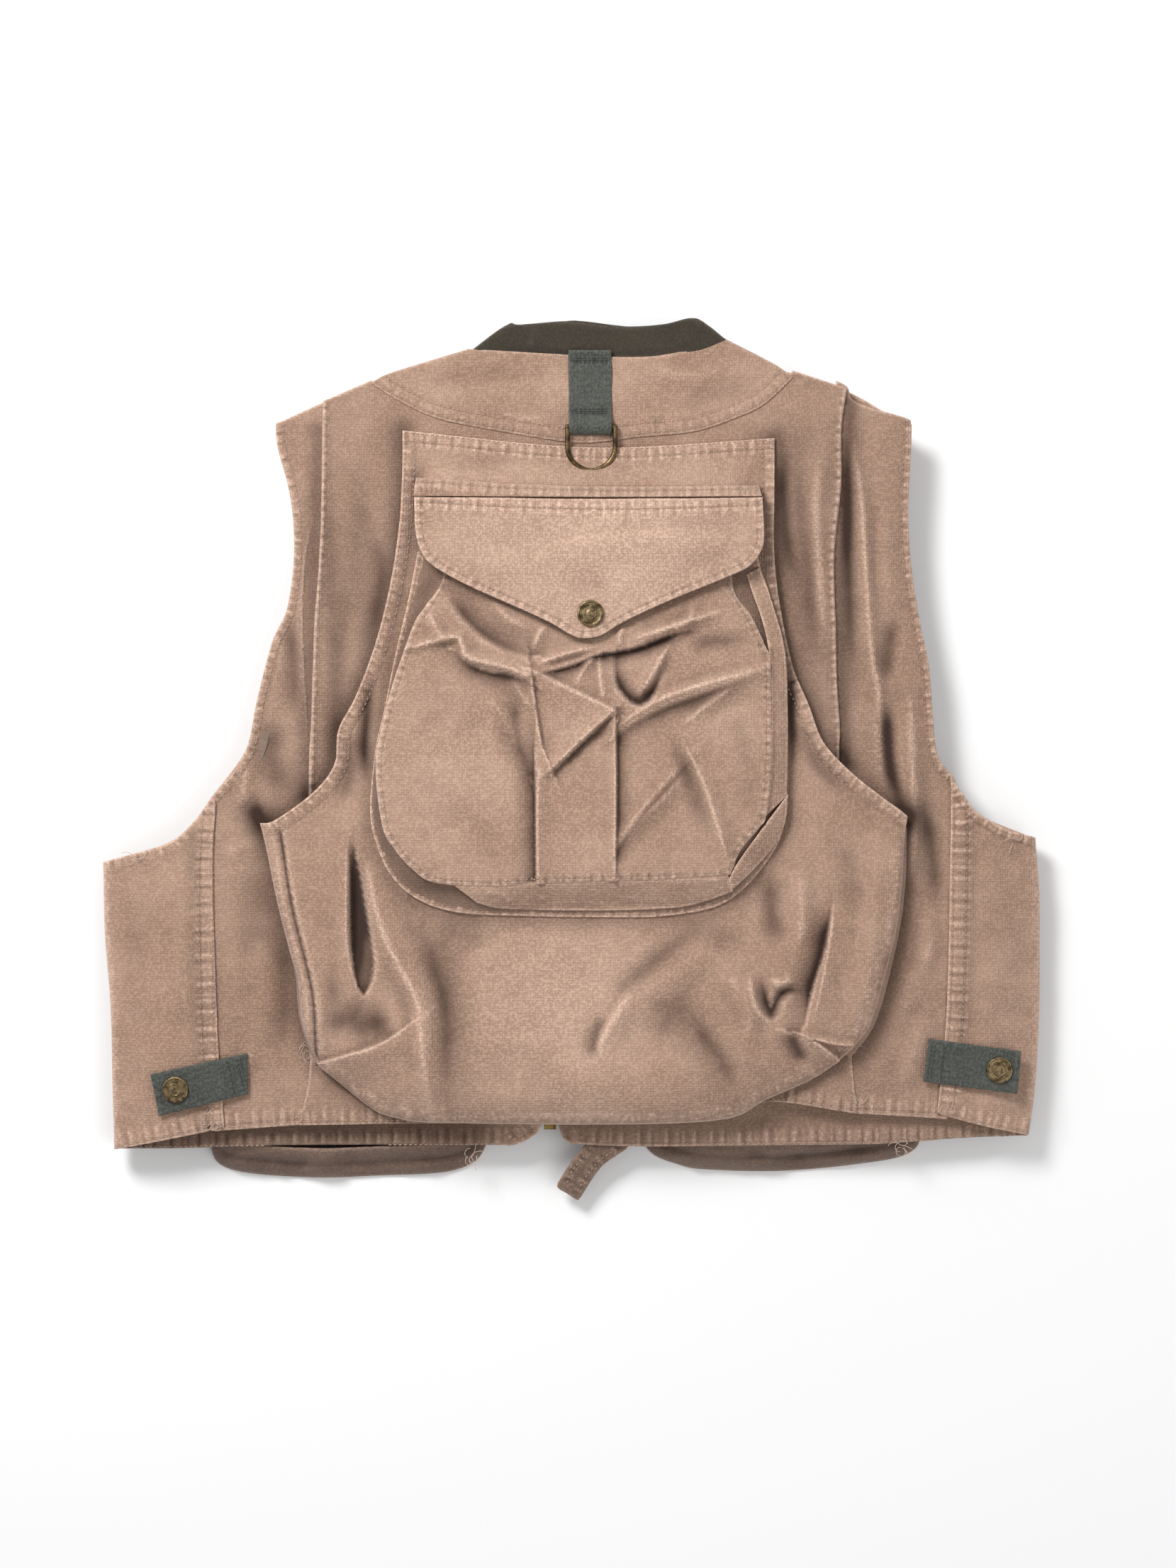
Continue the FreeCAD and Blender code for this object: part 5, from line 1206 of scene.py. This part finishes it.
strip_row = [(-92, 166.5), (-40, 162.6), (12.5, 161), (60, 161), (112, 161.8)]
flap_strip = panel(strip_outline_points, strip_level, [
    seam(strip_row, rows=(1,), band=3.5, rise=0.1, pucker=0.3, seed=19)], spacing=1.5, edge_wear=0.35)
sewn("cargo_flap_strip_cloth", [flap_strip], [strip_outline_points], "cargo_flap_strip")
tacks = bar_tack(-86, 161.5, -4) + bar_tack(-86, 163, -4) + bar_tack(105, 160, 2) + bar_tack(105, 161.5, 2)
stitched("cargo_strip_stitching", [(strip_row, 1)] + tacks, [flap_strip])

# Net loop: a length of one-inch cotton webbing sewn into the neck seam, folded round the bar of
# the D-ring and stitched down on itself.
webbing_gauge = 1.6


def webbing_weave(name, turn):
    """Herringbone webbing in grey-green cotton, its ribs turned to run along the piece."""
    # woven ribs 1.5 mm apart, hard and matt, and hardly faded beside the canvas
    web = garment_cloth(name, "41433f", "6a6c65", "1f2120", 1.5, 0.5, 0.4, 0.1)
    tree = web.node_tree
    place = next(node for node in tree.nodes if node.type == "TEX_COORD")
    turned = add_node(tree, "ShaderNodeMapping", {"Vector": place.outputs["Object"],
                                                  "Rotation": (0, 0, math.radians(turn)),
                                                  "Scale": (1.4, 0.8, 1)})
    for node in tree.nodes:
        if node.type == "TEX_WAVE":
            tree.links.new(turned.outputs[0], node.inputs["Vector"])
    return web


def loop_level(xy):
    over_bar = 3.4 * np.exp(-((xy[:, 1] - 201) / 6) ** 2)
    return 31.6 + over_bar + 0.2 * rumple(xy, 12, 17)


loop_outline = [(-1.9, 247.5, 1), (-1.6, 222), (-1.4, 196.4, 1), (24.2, 196.2, 1), (24.4, 222),
                (24, 247.5, 1)]
net_loop = panel(loop_outline, loop_level, [
    seam([(0, 241), (22, 241)], rows=(0,), band=3, rise=-0.5, pucker=0.3, worn=0.1, seed=20),
    seam([(0, 210), (22, 210)], rows=(0,), band=3, rise=-0.6, pucker=0.3, worn=0.1, seed=21),
    rolled([(-1.4, 196.3), (24.2, 196.2)], 3.2, 4),
    fold([(-0.9, 246), (-0.6, 198)], 0.35, 1.2, 1.2, 2, worn=0.1),
    fold([(23.4, 246), (23.4, 198)], 0.35, 1.2, 1.2, 2, worn=0.1)], 1.4, webbing_gauge, 0.3)
loop_under = panel([(-0.6, 214, 1), (-0.4, 197.4, 1), (23.2, 197.2, 1), (23.2, 214, 1)],
                   lambda xy: 29.9 + 0 * xy[:, 0], [], 2.5, 1.2)
sewn("net_loop_cloth", [net_loop, loop_under],
     [loop_outline, [(0, 0, 1), (24, 0, 1), (24, 18, 1), (0, 18, 1)]], "net_loop_webbing",
     material=webbing_weave("upright_webbing", 0))
# Waxed grey thread, dark and close to the webbing's own colour.
dark_thread = garment_cloth("grey_cotton_thread", "3c3e3b", "5c5e58", "202222", 0.4, 0.08, 0.2, 0.1)
stitched("net_loop_stitching", [([(1.5, y), (21.5, y)], 0) for y in (240, 241.4, 242.8, 209.2, 210.6, 212)],
         [net_loop], "vest", dark_thread, 2.6)

# Side tabs: short webbing tabs, the inner end sewn down and the outer end closed with a snap.
tabs = (
    ("left", 12.5, (-238.5, -198), [(-195.5, -176.4, 1), (-253.5, -188.9, 1), (-248.4, -214, 1),
                                    (-195.3, -200.8, 1)]),
    ("right", -7.5, (257.6, -186.2), [(212.2, -193.5, 1), (268.6, -200.6, 1), (270.9, -175, 1),
                                      (215.7, -167.7, 1)]))
for side_name, turn, snap_at, tab_outline in tabs:
    inner = -195.4 if side_name == "left" else 214
    run = 42 if side_name == "left" else -42

    def tab_level(xy, inner=inner, run=run):
        return 30.9 + 1.7 * ease((inner - xy[:, 0]) / run) + 0.25 * rumple(xy, 12, 18)
    ends = [np.array(tab_outline[k][:2]) for k in range(4)]
    outer_line = [tuple(ends[1] * 0.92 + ends[2] * 0.08), tuple(ends[1] * 0.08 + ends[2] * 0.92)]
    tab = panel(tab_outline, tab_level, [
        seam(outer_line, rows=(), band=3, rise=0.4, pucker=0.3, worn=0.2, seed=22),
        fold([snap_at, (snap_at[0] + 0.1, snap_at[1] + 0.1)], -0.9, 11, 11, 2)], 1.4, webbing_gauge, 0.3)
    web = webbing_weave(f"{side_name}_tab_webbing", -turn)
    sewn(f"{side_name}_tab_cloth", [tab], [tab_outline], f"{side_name}_tab_webbing", body=f"{side_name}_tab",
         material=web)
    sewn_end = (ends[0] + ends[3]) / 2
    along = (sewn_end - (ends[1] + ends[2]) / 2)
    along /= np.hypot(*along)
    across = np.array([-along[1], along[0]])
    half_row = across * 10
    rows = [([tuple(sewn_end - along * d - half_row), tuple(sewn_end - along * d + half_row)], 0)
            for d in (2, 4, 10)]
    stitched(f"{side_name}_tab_stitching", rows, [tab], f"{side_name}_tab", dark_thread, 2.6)

# Loose strap at the front hem: a folded and stitched canvas strap, left hanging free from the
# inside of the right front.

# The canvas's inner face, which has seen less sun and rubbing: the same weave, darker and browner, and darker
# still with painted shade for the pieces that lie under the vest.
shaded_inner_canvas = garment_cloth("inner_face_canvas_shaded", "6f594d", "a08776", "2c1e18", 0.75, 0.28)
strap_outline = [(10.7, -226, 1), (8.7, -232.7), (1.1, -242), (-6.2, -253.5), (-8.7, -259.5), (-3, -263.5),
                 (1.1, -266.3), (3.2, -267.5), (5.3, -266.3), (12.5, -254.8), (18.9, -246.3), (27.4, -239.9),
                 (34.2, -234.7), (36, -226, 1)]


def strap_level(xy):
    return 16.2 - 5 * ease((-232 - xy[:, 1]) / 36) + 0.3 * rumple(xy, 8, 19)


inner_row = [(14, -232), (6, -242), (-1, -252), (-3, -260)]
outer_row = [(28, -235.5), (17, -243), (9, -253), (3, -263)]
strap = panel(strap_outline, strap_level, [
    seam(inner_row, rows=(0,), band=3, rise=0.3, pucker=0.6, seed=23),
    seam(outer_row, rows=(0,), band=3, rise=0.3, pucker=0.6, seed=24)], 1.4, 2.0)
sewn("front_strap_cloth", [strap], [strap_outline], "front_strap", body="front_strap", material=shaded_inner_canvas)
stitched("front_strap_stitching", [(inner_row, 0), (outer_row, 0)], [strap], "front_strap")

# Front pockets: four bags on the fronts, gusseted, each with a flap under a sewn strip. They face
# the floor here, and the lower pair hang a little below the hem.
pockets = (
    ("left_lower", -228, -46, -252.5, -102.5, -137), ("right_lower", 38, 220, -247.5, -97.5, 129),
    ("left_chest", -165.5, -50.5, 15, 120, -108), ("right_chest", 35.5, 150.5, 15, 120, 93))
strip_parts, strip_cuts = [], []
for name, x0, x1, y0, y1, snap_x in pockets:
    if name == "left_lower":
        plan = [(x0, y1, 1), (x0, -200), (x0 + 1.5, -238), (-214, -253), (-168.1, -258), (-115.1, -257),
                (-66, -253.4), (x1 - 1.5, -238), (x1, -200), (x1, y1, 1)]
    elif name == "right_lower":
        plan = [(x0, y1, 1), (x0, -200), (x0 + 2, -238), (61.4, -250.5), (84, -253.5), (135.4, -254),
                (179.6, -250), (211.3, -243.4), (x1 - 0.5, -229), (x1, -190), (x1, y1, 1)]
    else:
        plan = [(x0, y1, 1), (x0, y0 + 20), (x0 + 2, y0 + 6), (x0 + 14, y0), (x1 - 14, y0), (x1 - 2, y0 + 6),
                (x1, y0 + 20), (x1, y1, 1)]
    rise_y = y1 - (42 if "lower" in name else 36)
    middle = ((x0 + x1) / 2, (y0 + y1) / 2)

    def drawn_in(points, amount, foot=None, middle=middle):
        moved = []
        for point in points:
            x = point[0] + amount * (1 if point[0] < middle[0] else -1)
            y = point[1] + ((amount if foot is None else foot) if point[1] < middle[1] else 0)
            moved.append((x, y, *point[2:]))
        return moved

    def face_level(xy, rise_y=rise_y, y1=y1):
        return 1.9 + 11 * ease((xy[:, 1] - rise_y) / (y1 - rise_y)) + 0.5 * rumple(xy, 22, 20)
    face_outline = drawn_in(plan, 5, 3)
    face = panel(face_outline, face_level, [], 3.4)
    head = [point[:2] for point in drawn_in(plan, 9, 22)]
    side_wall = band_between(head, [point[:2] for point in face_outline], lambda xy: 17.0 + 0 * xy[:, 0],
                             lambda xy, level=face_level: level(xy) - 0.8, 4.5, 12, seed=4, wrinkle=3.0,
                             tuck=3.4)
    sewn(f"{name}_pocket_cloth", [face], [face_outline], f"{name}_pocket_panel", material=shaded_inner_canvas)
    band = x1 - x0 + 2 * (y1 - y0) - 20
    sewn(f"{name}_pocket_gusset_cloth", [side_wall], [[(0, 0, 1), (band, 0, 1), (band, 19, 1), (0, 19, 1)]],
         f"{name}_pocket_gusset", 1.1, material=shaded_inner_canvas)
    flap_low, flap_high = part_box(f"{name}_pocket_flap")
    ya, yb = flap_low[1] * 1000, flap_high[1] * 1000
    lid_outline = [(x0, yb, 1), (x0, ya + 12), (x0 + 8, ya + 7), (snap_x - 8, ya + 0.8),
                   (snap_x + 8, ya + 0.8), (x1 - 8, ya + 7), (x1, ya + 12), (x1, yb, 1)]

    def lid_level(xy, ya=ya, yb=yb):
        return 4.6 + 5.6 * (xy[:, 1] - ya) / (yb - ya) + 0.2 * rumple(xy, 20, 21)
    lid = panel(lid_outline, lid_level, [seam([p[:2] for p in lid_outline[1:-1]], rows=(), band=4, rise=-0.3,
                                              pucker=0.3, seed=25)], 2.8, 1.7)
    sewn(f"{name}_pocket_flap_cloth", [lid], [lid_outline], f"{name}_pocket_flap",
         body=f"{name}_flap", material=shaded_inner_canvas)
    strip_cut = [(x0, yb + 12, 1), (x0, yb + 1.2, 1), (x1, yb + 1.2, 1), (x1, yb + 12, 1)]
    strip_parts.append(panel(strip_cut, lambda xy, yb=yb: 11.6 + 5.6 * ease((xy[:, 1] - yb - 1) / 9), [],
                             3.0, 1.7))
    strip_cuts.append(strip_cut)
sewn("front_flap_strips_cloth", strip_parts, strip_cuts, "front_flap_strips", material=shaded_inner_canvas)

# Front zip: woven tapes, brass teeth, slider and pull, closed up the middle of the front. The
# tapes are sewn to the edges of the fronts.

# Twill zip tape: flat, close and hard-woven, so that it takes neither nap nor fading.
tape_cloth = garment_cloth("woven_zip_tape", "6f5b4d", "8d7868", "3a2d25", 0.5, 0.15)
for side_name, x0, x1 in (("left", -28.4, -14.4), ("right", -11.6, 2.4)):
    tape_outline = [(x0, -211.5, 1), (x1, -211.5, 1), (x1, 150.5, 1), (x0, 150.5, 1)]
    tape = panel(tape_outline, lambda xy: 20.0 + 0.1 * rumple(xy, 20, 22), [], 3.5, 0.8, 0.2)
    sewn(f"{side_name}_zip_tape_cloth", [tape], [tape_outline], f"{side_name}_zip_tape",
         material=tape_cloth)


def aged_brass(name, bright, dark, rough, size_mm):
    """Brass gone brown in the hollows and rubbed bright on the high spots."""
    metal = bpy.data.materials.new(name)
    metal.use_nodes = True
    tree = metal.node_tree
    shader = tree.nodes["Principled BSDF"]
    place = add_node(tree, "ShaderNodeTexCoord").outputs["Object"]
    blotch = patches(tree, place, size_mm, 0.35, 0.68)
    grain = patches(tree, place, size_mm / 6, 0.3, 0.7, 2.0)
    colour = tint(tree, blotch, paint_of(bright), paint_of(dark))
    colour = tint(tree, maths(tree, "MULTIPLY", grain, 0.35), colour, paint_of(dark))
    tree.links.new(colour, shader.inputs["Base Color"])
    bump = add_node(tree, "ShaderNodeBump", {"Height": grain, "Distance": 0.00008, "Strength": 0.6})
    tree.links.new(bump.outputs[0], shader.inputs["Normal"])
    shader.inputs["Metallic"].default_value = 0.9
    shader.inputs["Roughness"].default_value = rough
    return metal


def plated(node_names, metal):
    """Give a metal to solids that keep the shape they have."""
    for node_name in node_names:
        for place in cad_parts[node_name].material_slots:
            place.material = metal


# Stamped brass teeth, yellower than the rest because they're kept covered.
zip_brass = aged_brass("zip_tooth_brass", "a08850", "5e4c2c", 0.4, 3)
plated(("zip_teeth", "zip_box", "zip_slider", "zip_pull"), zip_brass)

# Snaps and D-ring: pressed brass caps with a rolled rim, a plain ring of raised beads and a domed
# middle, riveted through the cloth over a socket that grips a stud. The ring is bent brass wire.
# One cap is modelled, then copied to each snap.

# Antique brass: plated wire and pressings gone brown in the hollows, rubbed to dull gold on top.
ring_brass = aged_brass("antique_brass_ring", "7d6848", "3a3026", 0.36, 5)
cap_brass = aged_brass("antique_brass_cap", "9a8663", "4a3d2c", 0.36, 3)
snaps = (("cargo_flap", "cargo_flap", -4.5), ("left_tab", "left_tab", 0), ("right_tab", "right_tab", 0),
         ("left_lower_pocket", "left_lower_flap", 186.5), ("right_lower_pocket", "right_lower_flap", 186.5),
         ("left_chest_pocket", "left_chest_flap", 188.6), ("right_chest_pocket", "right_chest_flap", 188.6))
plated(["net_ring", "snap_studs", "snap_back_plates"], ring_brass)
plated([f"{snap[0]}_snap_socket" for snap in snaps], ring_brass)
bpy.ops.object.select_all(action="DESELECT")
cap_radius = 7.9 * MM
cap_thickness = 1.3 * MM
bead_count = 22
bead_radius = 0.46 * MM
bead_ring = 5.3 * MM
bpy.ops.mesh.primitive_cylinder_add(vertices=44, radius=cap_radius, depth=cap_thickness,
                                    location=(0, 0, 0.65 * MM))
cap_model = bpy.context.object
for polygon in cap_model.data.polygons:
    polygon.select = polygon.normal.z > 0.9
for part in (cap_model.data.edges, cap_model.data.vertices):
    for item in part:
        item.select = False
bpy.ops.object.mode_set(mode="EDIT")
bpy.ops.mesh.select_mode(type="FACE")
for inward, lift in ((0.35, 0.4), (0.75, 0.12), (0.3, -0.62), (2.4, 0.0), (0.25, 0.55), (0.5, 0.12),
                     (0.3, -0.4), (0.9, 0.28), (0.9, 0.16)):
    bpy.ops.mesh.inset(thickness=inward * MM)
    bpy.ops.transform.translate(value=(0, 0, lift * MM))
bpy.ops.object.mode_set(mode="OBJECT")
beads = [cap_model]
for k in range(bead_count):
    angle = math.tau * k / bead_count
    place = (bead_ring * math.cos(angle), bead_ring * math.sin(angle), 1.25 * MM)
    bpy.ops.mesh.primitive_uv_sphere_add(segments=8, ring_count=6, radius=bead_radius, location=place)
    beads.append(bpy.context.object)
bpy.ops.object.select_all(action="DESELECT")
for bead in beads:
    bead.select_set(True)
bpy.context.view_layer.objects.active = cap_model
bpy.ops.object.join()
bpy.ops.object.transform_apply(location=True, rotation=True, scale=True)
round_over = cap_model.modifiers.new("rolled_rim", "BEVEL")
round_over.width = 0.14 * MM
round_over.segments = 2
round_over.limit_method = "ANGLE"
bpy.ops.object.modifier_apply(modifier="rolled_rim")
bpy.ops.object.shade_smooth_by_angle(angle=math.radians(40))
cap_mesh = cap_model.data
bpy.data.objects.remove(cap_model)
for base_name, body, turn in snaps:
    low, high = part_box(f"{base_name}_snap_cap")
    middle = (Vector(low) + Vector(high)) / 2
    mesh = cap_mesh.copy()
    mesh.transform(Matrix.Translation(middle) @ Matrix.Rotation(math.radians(turn), 4, "X")
                   @ Matrix.Translation((0, 0, -1.1 * MM)))
    cap = bpy.data.objects.new(f"{base_name}_brass_cap", mesh)
    bpy.context.collection.objects.link(cap)
    cap.data.materials.append(cap_brass)
    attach(cap, body)
    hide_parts(f"{base_name}_snap_cap")

# Frayed threads: loose ends of sewing cotton, worn through at the bar-tacks and the hem corners
# and lying curled on the cloth.
def frayed(name, spots, parts, seed):
    """Loose fibres, each a run of short pieces that wanders over the cloth from its spot."""
    fibre = 0.16
    step = 1.1
    find = surface_finder(parts)
    draw = np.random.default_rng(seed)
    verts, faces = [], []
    for x, y, count in spots:
        for _ in range(count):
            heading = draw.uniform(0, math.tau)
            bend = draw.uniform(-0.5, 0.5)
            px, py = x + draw.uniform(-3, 3), y + draw.uniform(-2, 2)
            level = (find(px, py) or 18) + 0.3
            for k in range(9):
                start = len(verts)
                for corner in range(4):
                    around = math.tau * corner / 4
                    verts.append((px + fibre * math.cos(around) * -math.sin(heading),
                                  py + fibre * math.cos(around) * math.cos(heading),
                                  level + fibre * math.sin(around) + 0.9 * math.sin(k * 0.4)))
                if k:
                    faces += [[start - 4 + c, start - 4 + (c + 1) % 4, start + (c + 1) % 4, start + c]
                              for c in range(4)]
                else:
                    faces.append([start, start + 1, start + 2, start + 3][::-1])
                px += math.cos(heading) * step
                py += math.sin(heading) * step
                level = max((find(px, py) or level) + 0.25, level - 0.4)
                heading += bend
            faces.append([start, start + 1, start + 2, start + 3])
    piece = make_mesh(name, np.array(verts) * MM, faces)
    piece.data.materials.append(pale_thread)
    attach(piece, "vest")


# Broken sewing thread, washed out almost white where it has come loose.
pale_thread = garment_cloth("frayed_cotton", "cbb3a2", "e6d6c9", "8a6d5c", 0.4, 0.08, 0.2, 0.2)
frayed("frayed_hem_threads", [(-216, -218, 7), (-163, -176, 6), (166, -172, 6), (171, -207, 4),
                              (228, -212, 4), (-262, -60, 4), (268, -48, 6)],
       [centre, left_side, right_side, left_wrap, right_wrap], 31)
frayed("frayed_pocket_threads", [(-60, -240, 8), (200, -234, 10)], [left_front, right_front], 32)
